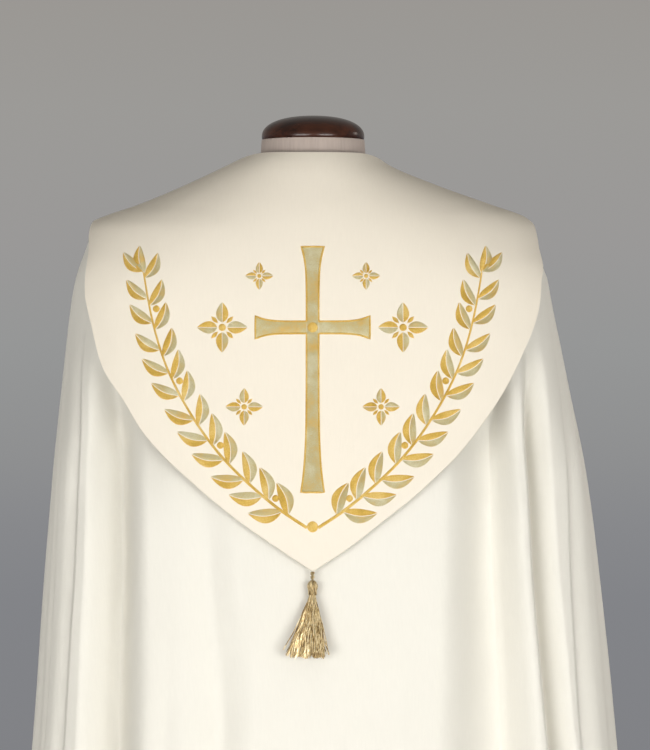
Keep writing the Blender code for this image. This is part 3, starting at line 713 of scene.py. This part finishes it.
# ---------------- materials
class Nodes:
    """The nodes of a material or a world, with short ways to add and join them."""

    def __init__(self, owner, shader):
        owner.use_nodes = True
        self.owner, self.tree = owner, owner.node_tree
        self.shader = self.tree.nodes[shader]

    def add(self, kind, inputs=None, **settings):
        node = self.tree.nodes.new("ShaderNode" + kind)
        for key, value in settings.items():
            setattr(node, key, value)
        for key, value in (inputs or {}).items():
            self.set(node.inputs[key], value)
        return node

    def set(self, socket, value):
        if isinstance(value, bpy.types.NodeSocket):
            self.tree.links.new(value, socket)
        elif isinstance(value, bpy.types.Node):
            self.tree.links.new(value.outputs[0], socket)
        else:
            socket.default_value = value

    def use(self, socket, value):
        self.set(self.shader.inputs[socket], value)

    def math(self, operation, a, b=0.0, c=0.0):
        return self.add("Math", {0: a, 1: b, 2: c}, operation=operation)

    def place(self, attribute=None):
        """Object coordinates, or a place kept with the mesh's points."""
        if attribute:
            return self.add("Attribute", attribute_name=attribute).outputs["Vector"]
        return self.add("TexCoord").outputs["Object"]

    def parts(self, vector):
        return self.add("SeparateXYZ", {0: vector}).outputs

    def noise(self, vector, scale, detail=2.0, roughness=0.5, stretch=(1, 1, 1)):
        if stretch != (1, 1, 1):
            vector = self.add("Mapping", {"Vector": vector, "Scale": stretch})
        inputs = {"Vector": vector, "Scale": scale, "Detail": detail, "Roughness": roughness}
        return self.add("TexNoise", inputs).outputs["Fac"]

    def ramp(self, value, *stops):
        ramp = self.add("ValToRGB", {"Fac": value})
        elements = ramp.color_ramp.elements
        while len(elements) < len(stops):
            elements.new(0.5)
        for element, (position, colour) in zip(elements, stops):
            element.position = position
            element.color = (*colour, 1)
        return ramp

    def bump(self, height, distance, strength, below=None):
        inputs = {"Height": height, "Distance": distance, "Strength": strength}
        if below is not None:
            inputs["Normal"] = below
        return self.add("Bump", inputs)


def new_material(name, colour, roughness, **sockets):
    m = Nodes(bpy.data.materials.new(name), "Principled BSDF")
    m.use("Base Color", (*colour, 1))
    m.use("Roughness", roughness)
    for socket, value in sockets.items():
        m.use(socket.replace("_", " "), value)
    return m


def cloth_material(name, colour, pitch, spread, sheen):
    """Plain-woven cloth: threads, slubs, a soft crumple and a slight unevenness of shade."""
    sockets = {"Sheen_Weight": sheen, "Sheen_Roughness": 0.45, "Specular_IOR_Level": 0.25}
    m = new_material(name, colour, 0.82, **sockets)
    flat = m.place("weave")
    parts = m.parts(flat)
    across, along = (m.math("SINE", m.math("MULTIPLY", parts[i], 2 * math.pi / pitch)) for i in (0, 1))
    threads = m.math("MULTIPLY", across, along)
    slubs = m.noise(flat, 1.0, stretch=(1 / (3 * pitch), 1 / (25 * pitch), 1))
    crumple = m.noise(m.place(), 38.0, 3.0, 0.45)
    low = m.bump(crumple, 0.0011, 0.5)
    mid = m.bump(slubs, pitch * 0.5, 0.35, low)
    m.use("Normal", m.bump(threads, pitch * 0.30, 0.5, mid))
    cloud = m.math("MULTIPLY", m.noise(m.place(), 7.0, 3.0, 0.6), 0.45)
    fleck = m.math("MULTIPLY_ADD", slubs, 0.55, cloud)
    dark, light = (tuple(np.minimum(np.array(colour) * (1 + way * spread), 1)) for way in (-1, 1))
    m.use("Base Color", m.ramp(fleck, (0.30, dark), (0.72, light)))
    return m.owner


def thread_material(name, colours, roughness, metallic, pitch, mottle, broad=0.0, spread=0.14):
    """Satin-stitched metallic thread: fine ridges along it, and glints and shade that differ from yarn to
    yarn, painted into its colour.
    broad is how much of its shade changes from place to place instead of from yarn to yarn; a small
    spread parts its light and dark threads sharply."""
    m = new_material(name, colours[1], roughness, Metallic=metallic, Specular_IOR_Level=0.5)
    place = m.place("thread")
    ridges = m.math("SINE", m.math("MULTIPLY", m.parts(place)[0], 2 * math.pi / pitch))
    # This noise sets each yarn's painted glint or painted shade in the colour, and its bumps.
    yarns_and_glints = m.noise(place, 1.0, 3.0, 0.65, (1 / pitch, 1 / mottle, 1))
    fine = m.noise(place, 1.0, 2.0, 0.7, (1 / (2.2 * pitch), 1 / (0.45 * mottle), 1))
    fine_share = m.math("MULTIPLY", fine, 0.4 * (1 - broad))
    patches = m.math("MULTIPLY_ADD", m.noise(m.place(), 48.0), broad, fine_share)
    mixed = m.math("MULTIPLY_ADD", yarns_and_glints, 0.6 * (1 - broad), patches)
    m.use("Base Color", m.ramp(mixed, *zip((0.5 - spread, 0.5, 0.5 + spread), colours)))
    m.use("Normal", m.bump(ridges, 0.00016, 0.8, m.bump(yarns_and_glints, 0.0005, 0.5)))
    return m.owner


def wood_material(name, dark, light, grain_scale):
    sockets = {"Coat_Weight": 0.18, "Coat_Roughness": 0.10, "Specular_IOR_Level": 0.30}
    m = new_material(name, dark, 0.26, **sockets)
    grain = m.noise(m.place(), grain_scale, 6.0, 0.62, (1.0, 7.0, 7.0))
    pores = m.noise(m.place(), grain_scale * 1.7, stretch=(2.0, 60.0, 60.0))
    m.use("Base Color", m.ramp(grain, (0.35, dark), (0.62, light)))
    m.use("Normal", m.bump(pores, 0.0002, 0.25))
    return m.owner


def steel_material(name):
    m = new_material(name, (0.50, 0.50, 0.51), 0.34, Metallic=1.0)
    streaks = m.noise(m.place(), 900.0, stretch=(1.0, 1.0, 0.02))
    m.use("Base Color", m.ramp(streaks, (0.3, (0.42, 0.42, 0.43)), (0.7, (0.58, 0.58, 0.59))))
    m.use("Normal", m.bump(streaks, 0.0001, 0.3))
    return m.owner


IVORY = (0.765, 0.738, 0.665)
CREAM = (0.808, 0.741, 0.628)
LINEN = (0.450, 0.375, 0.330)
GOLD_THREAD = ((0.64, 0.39, 0.06), (0.84, 0.54, 0.11), (0.95, 0.70, 0.26))
PALE_THREAD = ((0.78, 0.51, 0.14), (0.66, 0.56, 0.29), (0.76, 0.71, 0.48))
# The tassel's thread runs from a shaded to a lit copy of its gold: its dark yarn is painted shade and its
# light yarn painted glints.
TASSEL_THREAD_PAINTED_SHADE_AND_GLINT = ((0.15, 0.085, 0.025), (0.60, 0.42, 0.18), (0.98, 0.84, 0.53))
cope_cloth = cloth_material("cope_cloth", IVORY, 0.0007, 0.018, 0.02)
hood_cloth = cloth_material("hood_cloth", CREAM, 0.0007, 0.016, 0.02)
form_linen = cloth_material("form_linen", LINEN, 0.0013, 0.10, 0.05)
gold_stitch = thread_material("gold_stitch", GOLD_THREAD, 0.42, 0.20, 0.0005, 0.004, 0.45)
pale_stitch = thread_material("pale_stitch", PALE_THREAD, 0.42, 0.20, 0.0005, 0.003, 0.55)
tassel_gold = thread_material("tassel_gold", TASSEL_THREAD_PAINTED_SHADE_AND_GLINT, 0.30, 0.50, 0.0004, 0.014, spread=0.075)
mahogany = wood_material("mahogany", (0.016, 0.0045, 0.002), (0.052, 0.015, 0.006), 14.0)
brushed_steel = steel_material("brushed_steel")


# ---------------- the cloak
def cloak_spans():
    """For each panel, its strips from left to right: left line, right line and number of columns."""
    panels, spans = [], []
    line = upright(-FRONT_TURN)
    for fold in range(FOLD_COUNT):
        left, right = fold_rim(fold, -1), fold_rim(fold, 1)
        spans += [(line, left, CREST_COLUMNS), (left, right, FOLD_COLUMNS)]
        line = right
        if fold in SEAMS_AFTER_FOLDS:
            seam = between(right, fold_rim(fold + 1, -1), 0.5)
            strip, edge = beside(seam, -SEAM_STRIP), beside(seam, -SEAM_GAP / 2)
            spans += [(right, strip, CREST_COLUMNS // 2), (strip, edge, 1)]
            panels.append(spans)
            line = beside(seam, SEAM_STRIP)
            spans = [(beside(seam, SEAM_GAP / 2), line, 1)]
    panels.append([*spans, (line, upright(FRONT_TURN), CREST_COLUMNS)])
    return panels


def cloak_points(spans):
    """The outer face of a panel, rows down and columns to the right."""
    shares = np.linspace(0, 1, CLOAK_ROWS)
    lines = [between(first, last, i / count) for first, last, count in spans for i in range(count)]
    columns = []
    for line in [*lines, spans[-1][1]]:
        heights = heights_down(line, shares, in_shares=True)
        columns.append(on_cloak(line(heights), heights))
    points = np.swapaxes(np.array(columns), 0, 1)
    rise = points[:, :, 2] - points[-1:, :, 2]
    ridge = np.exp(-(((rise - HEM_TURN_UP) / HEM_RIDGE_HALF) ** 2))
    hem = ridge - ease(1 - rise / HEM_TURN_UP) * HEM_SINK
    return points + grid_normals(points) * (hem * HEM_RIDGE)[..., None]


PANEL_NAMES = ("cope_left_front", "cope_back", "cope_right_front")
for name, spans in zip(PANEL_NAMES, cloak_spans()):
    piece = shell(f"{name}_cloth", cloak_points(spans), CLOTH, cope_cloth)
    dress(piece, name)


# ---------------- the hood
def hood_lift(nominal, share):
    """How far the hood's outer face stands off the crests: share is 0 at the neck and 1 at its edge."""
    drape = HOOD_DRAPE * sum(1 + np.sin(nominal * across + phase) for across, phase in HOOD_WAVES)
    return HOOD_AIR_NECK + (HOOD_AIR_TIP - HOOD_AIR_NECK) * share**2 + HOOD_WALL + drape * share**3


def off_crests(nominal, height, lift):
    """Points lifted off the crest surface."""
    return on_crests(nominal, height) + outward(nominal, height, level=False) * np.expand_dims(lift, -1)


def hood_points():
    shares = np.linspace(0, 1, HOOD_ROWS)
    columns = []
    for turn in np.linspace(-HOOD_FRONT_TURN, HOOD_FRONT_TURN, HOOD_COLUMNS):
        side = "left" if turn < 0 else "right"
        down = float(smooth(HOOD_EDGE["turn"], HOOD_EDGE[side], abs(turn)))
        heights = heights_down(upright(turn), down * shares)
        to_edge = (1 - shares) * down
        ridge = HOOD_HEM_RIDGE * ease((HOOD_HEM - to_edge) / HOOD_HEM_SOFT + 0.5)
        columns.append(off_crests(turn + 0 * heights, heights, hood_lift(turn, shares) + ridge))
    return np.swapaxes(np.array(columns), 0, 1)


hood_face = hood_points()
hood = dress(shell("hood_cloth_shield", hood_face, HOOD_WALL, hood_cloth), "hood")
hood_tree = BVHTree.FromPolygons(
    [Vector(p) for p in hood_face.reshape(-1, 3)], grid_faces(HOOD_ROWS, HOOD_COLUMNS).tolist()
)
hood_point_z = float(hood_face[-1, HOOD_COLUMNS // 2, 2])


# ---------------- the embroidery
def on_face(flat, raise_by):
    """Lays a list of flat places on the hood's outer face, raised by so many metres."""
    flat = np.asarray(flat, float).reshape(-1, 2) / 1000
    raised = np.broadcast_to(raise_by, flat.shape[:1])
    laid = []
    for (x, up), lift in zip(flat, raised):
        place, normal, _, _ = hood_tree.ray_cast(Vector((x, -1, hood_point_z + up)), Vector((0, 1, 0)))
        if normal.y > 0:
            normal = -normal
        laid.append(place + normal * float(lift))
    return np.array([tuple(p) for p in laid])


def aside_of(way):
    """The flat direction a quarter turn against the clock from another."""
    return np.stack([-way[..., 1], way[..., 0]], -1)


def turned(way, turn):
    """A flat direction turned against the clock by so many radians."""
    return way * math.cos(turn) + aside_of(way) * math.sin(turn)


class Stitching:
    """Patches of stitching in one thread, gathered into one mesh."""

    def __init__(self):
        self.points, self.faces, self.threads, self.count = [], [], [], 0

    def patch(self, left, right, across=5, height=1.0, slant=0.0):
        """A domed patch between two curves of equal point counts. Its threads run from curve to
        curve, slanted by so much of the patch's width."""
        left, right = np.asarray(left, float), np.asarray(right, float)
        rows, columns = len(left), across + 1
        count = rows * columns
        share = np.linspace(0, 1, columns)
        flat = left[:, None] * (1 - share[:, None]) + right[:, None] * share[:, None]
        dome = np.tile(np.sin(math.pi * share) ** DOME_POWER, (rows, 1))
        dome[[0, -1]] *= PATCH_END
        top = on_face(flat, (dome * STITCH_RAISE * height).reshape(-1))
        self.points += [top, on_face(flat, -STITCH_ROOT)]
        run = run_of((left + right) / 2)[:, None] / 1000
        width = np.linalg.norm(right - left, axis=1)[:, None] / 1000 * share
        thread = np.stack([run + slant * width, width + run * THREAD_SHIFT, 0 * width], -1)
        self.threads += [thread.reshape(-1, 3)] * 2
        rim = rim_of(rows, columns)
        faces = np.concatenate([*both_faces(rows, columns), loop_faces(rim, rim + count)])
        step, wide = np.diff(left, axis=0), (right - left)[:-1]
        if (step[:, 0] * wide[:, 1] - step[:, 1] * wide[:, 0]).sum() < 0:
            faces = faces[:, ::-1]
        self.faces.append(faces + self.count)
        self.count += 2 * count

    def ribbon(self, middle, half, across=4, height=1.0, slant=0.35):
        """A patch of some half width, or half widths, along a curve."""
        aside = aside_of(unit(np.gradient(middle, axis=0))) * np.broadcast_to(half, len(middle))[:, None]
        self.patch(middle + aside, middle - aside, across, height, slant)

    def piece(self, name, material):
        obj = add_mesh(name, np.concatenate(self.points), np.concatenate(self.faces), material, 60)
        note(obj, "thread", np.concatenate(self.threads))
        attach(obj, "root")
        return obj


pale, gold = Stitching(), Stitching()


def curve_through(places, count):
    """An even run of points on a smooth curve through the places."""
    places = np.asarray(places, float)
    steps = run_of(places)
    fine = np.linspace(0, steps[-1], 400)
    line = np.stack([natural(steps, column, fine) for column in places.T], -1)
    run = run_of(line)
    return np.stack([np.interp(np.linspace(0, run[-1], count), run, column) for column in line.T], -1)


def stitch_halves(first, second, rib, way, length, shape):
    """A leaf or petal in two halves, to the left and right of the groove for its rib."""
    widest, skew, least, gap, slant = shape
    share = np.linspace(0, 1, len(rib))
    half = np.maximum(length * widest * np.sin(math.pi * share**skew) ** 0.8, least)
    for into, aside in ((first, aside_of(way)), (second, -aside_of(way))):
        into.patch(rib + aside * gap, rib + aside * (gap + half)[:, None], slant=slant)


def stitch_arm(start, end):
    """One arm of the cross, from its centre out to a flared end, edged with a gold cord."""
    share = np.linspace(0, 1, 22)[:, None]
    middle = start + (end - start) * share
    half = CROSS_WAIST + (CROSS_FLARE - CROSS_WAIST) * share**5
    pale.ribbon(middle, half[:, 0], across=8, slant=0.0)
    aside = aside_of(unit(end - start)) * half
    one, other = middle + aside, middle - aside
    outline = np.concatenate([one, np.linspace(one[-1], other[-1], 7)[1:-1], other[::-1]])
    gold.ribbon(outline, CROSS_CORD, across=3, height=1.5)


def stitch_leaf(root, way, length, lean):
    """A leaf whose rib bends to the left (lean 1) or to the right (-1)."""
    share = np.linspace(0, 1, 15)
    bend = lean * length * LEAF_BEND * np.sin(math.pi * share)
    rib = root + way * (share * length)[:, None] + aside_of(way) * bend[:, None]
    stitch_halves(gold, pale, rib, way, length, LEAF_SHAPE)


def stitch_disc(into, centre, radius, height=1.4):
    """A round knot or berry, stitched across on the slant."""
    share = np.linspace(-0.99, 0.99, 13)
    middle = centre + share[:, None] * radius * np.array([0.8, 0.6])
    into.ribbon(middle, radius * np.sqrt(1 - share**2), across=6, height=height, slant=0.0)


def stitch_rosette(centre, size):
    """Four petals in a cross, with a gold eye and a gold bud between each two."""
    share = np.linspace(0, 1, 13)
    for quarter_turn in range(4):
        way = turned(np.array([1.0, 0.0]), math.pi / 2 * quarter_turn)
        rib = centre + way * (size * (PETAL_START + (1 - PETAL_START) * share))[:, None]
        stitch_halves(pale, gold, rib, way, size, PETAL_SHAPE)
        bud = centre + turned(way, math.pi / 4) * (size * (BUD_START + BUD_LENGTH * share))[:, None]
        gold.ribbon(bud, np.maximum(size * BUD_HALF * np.sin(math.pi * share), 0.2), height=1.2)
    stitch_disc(gold, centre, size * EYE)


def stitch_branch(mirror):
    """A stem with pairs of leaves and a berry at every third, mirrored to one side or the other."""
    flip = np.array([mirror, 1.0])
    line = curve_through(BRANCH, BRANCH_POINTS)
    ahead = unit(np.gradient(line, axis=0))
    gold.ribbon(line * flip, np.linspace(1.7, 1.0, len(line)), height=1.1)
    for leaf, share in enumerate(np.linspace(0, 1, BRANCH_LEAVES)):
        at = int(6 + (BRANCH_POINTS - 9) * leaf / (BRANCH_LEAVES - 1))
        length = LEAF_LENGTHS[0] + (LEAF_LENGTHS[1] - LEAF_LENGTHS[0]) * share
        for side, on in ((1, 2), (-1, 0)):
            way = turned(ahead[at], LEAF_ANGLE * side)
            root = line[min(at + on, BRANCH_POINTS - 1)] + way * LEAF_STALK
            stitch_leaf(root * flip, way * flip, length, side * mirror)
        if leaf % BERRY_EVERY == 1:
            berry = line[at] - aside_of(ahead[at]) * BERRY_ASIDE - ahead[at] * BERRY_BACK
            stitch_disc(gold, berry * flip, BERRY_RADIUS)
    stitch_leaf(line[-1] * flip, ahead[-1] * flip, LEAF_LENGTHS[1], mirror)


def embroider():
    """The cross and its rosettes between two branches of laurel with berries."""
    centre = np.array([0.0, CROSS_ARMS])
    for end in ((0, CROSS_TOP), (0, CROSS_FOOT), (-CROSS_REACH, CROSS_ARMS), (CROSS_REACH, CROSS_ARMS)):
        stitch_arm(centre + unit(end - centre) * CROSS_WAIST, np.array(end, float))
    (left, low), (right, high) = centre - CROSS_WAIST, centre + CROSS_WAIST
    sides = [(left, low), (left, high)], [(right, low), (right, high)]
    pale.patch(*sides, across=8, height=0.6)
    stitch_disc(gold, centre, CROSS_WAIST * 0.86, height=1.9)
    for mirror in (1, -1):
        stitch_branch(mirror)
        for x, y, size in ROSETTES:
            stitch_rosette(np.array([x * mirror, y]), size)
    stitch_disc(gold, np.array(BRANCH_KNOT), 6.0, height=1.6)
    return [pale.piece("embroidery_pale", pale_stitch), gold.piece("embroidery_gold", gold_stitch)]


embroidery = embroider()


# ---------------- the band at the chest
def band_points():
    heights = MORSE_HEIGHT + MORSE_DEPTH * np.linspace(0.5, -0.5, MORSE_ROWS)[:, None]
    turn = math.pi + np.radians(np.linspace(-MORSE_HALF_TURN, MORSE_HALF_TURN, MORSE_COLUMNS))[None]
    turn = np.where(turn > math.pi, turn - 2 * math.pi, turn) + 0 * heights
    return around_axis(turn, crest_radius(turn, heights + 0 * turn) + MORSE_AIR + CLOTH, heights)


band = dress(shell("morse_band_cloth", band_points(), CLOTH, cope_cloth), "morse_band")


# ---------------- the tassel
# It hangs along a line that leans back a little, with its own across and away.
DOWN = np.array([0.0, -math.sin(TASSEL_LEAN), -math.cos(TASSEL_LEAN)])
AWAY = np.array([0.0, -math.cos(TASSEL_LEAN), math.sin(TASSEL_LEAN)])
ACROSS = np.array([1.0, 0.0, 0.0])


def hanging(start, drop, side, front):
    """Points below start by a drop, so far to the side and to the front of the tassel's line."""
    return start + np.outer(drop, DOWN) + np.outer(side, ACROSS) + np.outer(front, AWAY)


def coil(start, drop, turn, radius):
    """Points that wind round the tassel's line."""
    return hanging(start, drop, radius * np.cos(turn), radius * np.sin(turn))


def cord_parts(start):
    """Two twisted strands and the knots on them."""
    run = np.linspace(0, 1, 40)
    turns = [phase + run * 2 * math.pi * CORD_TURNS for phase in (0.0, math.pi)]
    strands = [coil(start, run * TASSEL_CORD_LENGTH, turn, CORD_SWING) for turn in turns]
    run = np.linspace(0, 1, 30)
    turn = run * 2 * math.pi * KNOT_TURNS
    knots = [coil(start, drop + (run - 0.5) * KNOT_PITCH, turn, radius) for drop, radius in KNOTS]
    return [tubes(strands, CORD_STRAND, 7), tubes(knots, KNOT_THREAD, 7)]


def head_parts(top):
    """Threads laid over the head, the binding round its waist and the core that they lie on."""
    run = np.linspace(0, 1, 22)
    drop = run * TASSEL_HEAD_HEIGHT
    outline = TASSEL_HEAD_RADIUS * smooth(HEAD_OUTLINE["run"], HEAD_OUTLINE["wide"], run) - HEAD_THREAD
    threads = [coil(top, drop, turn + 0.5 * run, outline) for turn in circle(HEAD_THREADS)]
    run = np.linspace(0, 1, 190)
    drop = TASSEL_HEAD_HEIGHT * (0.70 + 0.20 * run)
    binding = coil(top, drop, run * 2 * math.pi * BINDING_TURNS, BINDING_RADIUS)
    binding_part = tubes([binding], BINDING_THREAD, 6)
    core = top + np.outer(HEAD_CORE["run"] * TASSEL_HEAD_HEIGHT, DOWN)
    return [tubes(threads, HEAD_THREAD, 5), binding_part, tubes([core], HEAD_CORE["radius"], 14)]


def skirt_strands(waist):
    """The strands' paths and, for each of their points, a place along the thread for the material."""
    rng = np.random.default_rng(7)
    run = np.linspace(0, 1, STRAND_POINTS)
    strands, threads = [], []
    for kind, (locks, count, scatter, reach, shorter) in zip(("body", "flared"), SKIRT_LOCKS):
        opening = smooth(SKIRT_OPENING["run"], SKIRT_OPENING[kind], run)
        wide = TASSEL_WAIST_RADIUS * (1 - opening) + TASSEL_HALF_WIDTH * opening
        deep = TASSEL_WAIST_RADIUS * (1 - opening) + TASSEL_HALF_DEPTH * opening
        for lock in range(locks):
            spread = rng.uniform(*FLARED_SPREAD) if kind == "flared" else math.sqrt((lock + 0.5) / locks)
            angle = lock * GOLDEN_ANGLE
            centre = reach * spread * np.array([math.cos(angle), math.sin(angle)])
            length = 1 - shorter * rng.random()
            wave, beat = rng.uniform(-1, 1, 2) * LOCK_WAVE, rng.uniform(*LOCK_BEATS)
            # shade is where along the thread's painted shade and glints this lock starts.
            phase, shade = rng.uniform(0, 6.3, 2), rng.uniform(0, LOCK_PAINTED_SHADE)
            for strand in range(count):
                aside = centre + rng.normal(0, scatter, 2)
                aside = aside / max(1.0, np.linalg.norm(aside) / reach)
                curl = rng.uniform(-1, 1, 2) * STRAND_CURL
                slow = np.sin(2 * math.pi * beat * run + phase[0]) * run**0.7
                quick = np.sin(2 * math.pi * CURL_BEATS * run + phase[1]) * run
                sway = np.outer(slow, wave) + np.outer(quick, curl)
                fall = run * TASSEL_SKIRT * (length - STRAND_SHORTER * rng.random())
                fall = fall - SKIRT_TUCK * (1 - run)
                side = aside[0] * wide + sway[:, 0] + TASSEL_SIDEWAYS * run**1.4
                front = aside[1] * deep + sway[:, 1] + TASSEL_CLEAR * run
                strands.append(hanging(waist, fall, side, front))
                yarn = shade + strand * STRAND_STEP
                threads.append(np.stack([yarn + 0 * run, fall, LOCK_STEP * lock + 0 * run], -1))
    return strands, np.array(threads)


def build_tassel():
    height = heights_down(upright(0.0), HOOD_EDGE["left"][:1])
    point = off_crests(np.zeros(1), height, HOOD_AIR_TIP + HOOD_WALL / 2)[0]
    start = point + CORD_START * DOWN
    points, faces = joined(cord_parts(start))
    cord = add_mesh("tassel_cord_twist", points, faces, tassel_gold, 70)
    note(cord, "thread", points[:, [0, 2, 1]] * (2, 1, 1))

    top = start + DOWN * (TASSEL_CORD_LENGTH + 1.8 * JOINT_GAP)
    strands, threads = skirt_strands(top + DOWN * TASSEL_HEAD_HEIGHT)
    radii = STRAND_RADIUS * np.interp(np.linspace(0, 1, STRAND_POINTS), [0, 0.9, 1], [0.8, 1.0, 0.7])
    points, faces = joined([*head_parts(top), tubes(strands, radii, 3)])
    tassel = add_mesh("tassel_threads", points, faces, tassel_gold, 80)
    places = points[:, [0, 2, 1]]
    strand_places = np.repeat(threads.reshape(-1, 3), 3, axis=0)
    places[-len(strand_places) :] = strand_places
    note(tassel, "thread", places)
    dress(cord, "tassel_cord")
    dress(tassel, "tassel")


build_tassel()


# ---------------- the form and its stand
def build_body():
    turn = circle(FORM_COLUMNS)[None]
    heights = FORM_HEIGHTS[:, None]
    points = around_axis(turn, section_radius(FORM, "side", "side", turn, heights), heights)
    rows = len(heights)
    faces = grid_faces(rows, FORM_COLUMNS, ring=True).tolist()
    faces.append(list(range(FORM_COLUMNS)))
    faces.append([(rows - 1) * FORM_COLUMNS + i for i in reversed(range(FORM_COLUMNS))])
    body = add_mesh("form_cover", points.reshape(-1, 3), faces, form_linen, 50)
    flat = np.stack([0.09 * turn + 0 * heights, -heights + 0 * turn, 0 * points[..., 0]], -1)
    note(body, "weave", flat.reshape(-1, 3))
    return body


def cap_profile():
    dome = [(0.0, CAP_HEIGHT)]
    for sine, cosine in quarter(26)[1:]:
        rise = CAP_RIM + (CAP_HEIGHT - CAP_RIM) * cosine ** (2 / CAP_SQUARE)
        dome.append((CAP_RADIUS * sine ** (2 / CAP_SQUARE), rise))
    return [*dome, (CAP_RADIUS - 0.0002, CAP_RIM * 0.4), (CAP_RADIUS - EDGE, 0.0), (0.0, 0.0)]


def base_profile():
    edge, shoulder = BASE_RADIUS - BASE_ROUND, BASE_THICK - BASE_ROUND
    top = [(0.0, BASE_THICK), (edge * 0.6, BASE_THICK), (edge - 0.006, BASE_THICK)]
    curve = [(edge + BASE_ROUND * sine, shoulder + BASE_ROUND * cosine) for sine, cosine in quarter(9)]
    return [*top, *curve, (BASE_RADIUS, 0.0012), (BASE_RADIUS - EDGE, 0.0), (0.0, 0.0)]


def socket_profile():
    inner, neck = POLE_RADIUS + SOCKET_WALL, FLARE_HIGH + 0.005
    high = SOCKET_HEIGHT
    top = [(0.0, high), (inner - EDGE, high), (inner, high - EDGE), (inner, neck)]
    flare = [(inner + FLARE_WIDE * (1 - cosine), neck - FLARE_HIGH * sine) for sine, cosine in quarter(6)]
    return [*top, *flare, (SOCKET_RADIUS, FLANGE_THICK), (SOCKET_RADIUS, 0.0), (0.0, 0.0)]


def pole_profile(low, high):
    end = POLE_RADIUS - POLE_CHAMFER
    top = [(0.0, high), (end, high), (POLE_RADIUS, high - POLE_CHAMFER)]
    return [*top, (POLE_RADIUS, low + POLE_CHAMFER), (end, low), (0.0, low)]


def build_form():
    dress(build_body(), "form_body")
    cap = lathe("neck_cap_turned", cap_profile(), mahogany, 128, FORM_TOP + JOINT_GAP)
    dress(cap, "form_neck_cap")
    dress(lathe("stand_base_turned", base_profile(), mahogany, 160), "stand_base")
    foot = BASE_THICK + JOINT_GAP
    socket = lathe("stand_socket_turned", socket_profile(), brushed_steel, 96, foot)
    dress(socket, "stand_socket")
    pole = pole_profile(foot + SOCKET_HEIGHT + JOINT_GAP, FORM_LOW - JOINT_GAP)
    dress(lathe("stand_pole_tube", pole, brushed_steel, 64), "stand_pole")


build_form()


# ---------------- the studio
def build_floor():
    """A pale floor that fades out far from the object, so that it ends without an edge."""
    m = new_material("pale_floor", (0.46, 0.46, 0.47), 0.9)
    parts = m.parts(m.place())
    flat = m.add("CombineXYZ", {"X": parts[0], "Y": parts[1]})
    far = m.add("VectorMath", {0: flat}, operation="LENGTH").outputs["Value"]
    reach = {"Value": far, "From Min": FLOOR_FADE_START, "From Max": FLOOR_FADE_END}
    fade = m.add("MapRange", {**reach, "To Min": 1.0, "To Max": 0.0})
    mixed = m.add("MixShader", {0: fade, 1: m.add("BsdfTransparent"), 2: m.shader})
    output = next(n for n in m.tree.nodes if n.type == "OUTPUT_MATERIAL")
    m.set(output.inputs["Surface"], mixed)
    turn = circle(96)
    ring = np.stack([FLOOR_RADIUS * np.cos(turn), FLOOR_RADIUS * np.sin(turn), 0 * turn - 0.0005], -1)
    add_mesh("studio_floor", ring, [list(range(96))], m.owner)


def build_backdrop():
    world = bpy.data.worlds.new("studio_air")
    bpy.context.scene.world = world
    air = Nodes(world, "Background")
    rise = air.parts(air.add("TexCoord").outputs["Generated"])["Z"]
    spread = air.add("MapRange", {"Value": rise, "From Min": -0.5, "From Max": 0.5})
    air.use("Color", air.ramp(spread, *((level + 0.5, colour) for level, colour in BACKDROP)))
    air.use("Strength", 1.0)


def add_light(name, turn, distance, height, size, power, colour, aim, spread, in_gloss):
    """A soft light at a turn round the object, pointing at its axis, its beam held in by a grid."""
    data = bpy.data.lights.new(name, "AREA")
    data.shape = "RECTANGLE"
    data.size, data.size_y = size
    data.energy = power
    data.color = colour
    data.spread = math.radians(spread)
    light = add_object(name, data)
    angle = math.radians(turn)
    light.location = (distance * math.sin(angle), -distance * math.cos(angle), height)
    way = Vector((0, 0, aim)) - light.location
    light.rotation_euler = way.to_track_quat("-Z", "Y").to_euler()
    light.visible_camera = False
    light.visible_glossy = in_gloss


def add_camera():
    """The photograph's view: level, from behind the wearer."""
    data = bpy.data.cameras.new("photo_camera")
    data.sensor_width = SENSOR
    data.lens = SENSOR * CAMERA_DISTANCE / VIEW_HEIGHT
    camera = add_object("photo_camera", data)
    camera.location = (CAMERA_SIDE, -CAMERA_DISTANCE, CAMERA_HEIGHT)
    camera.rotation_euler = (math.pi / 2, 0, 0)
    bpy.context.scene.camera = camera


build_floor()
build_backdrop()
for light in LIGHTS:
    add_light(*light)
add_camera()
bpy.context.scene.view_settings.view_transform = "Standard"
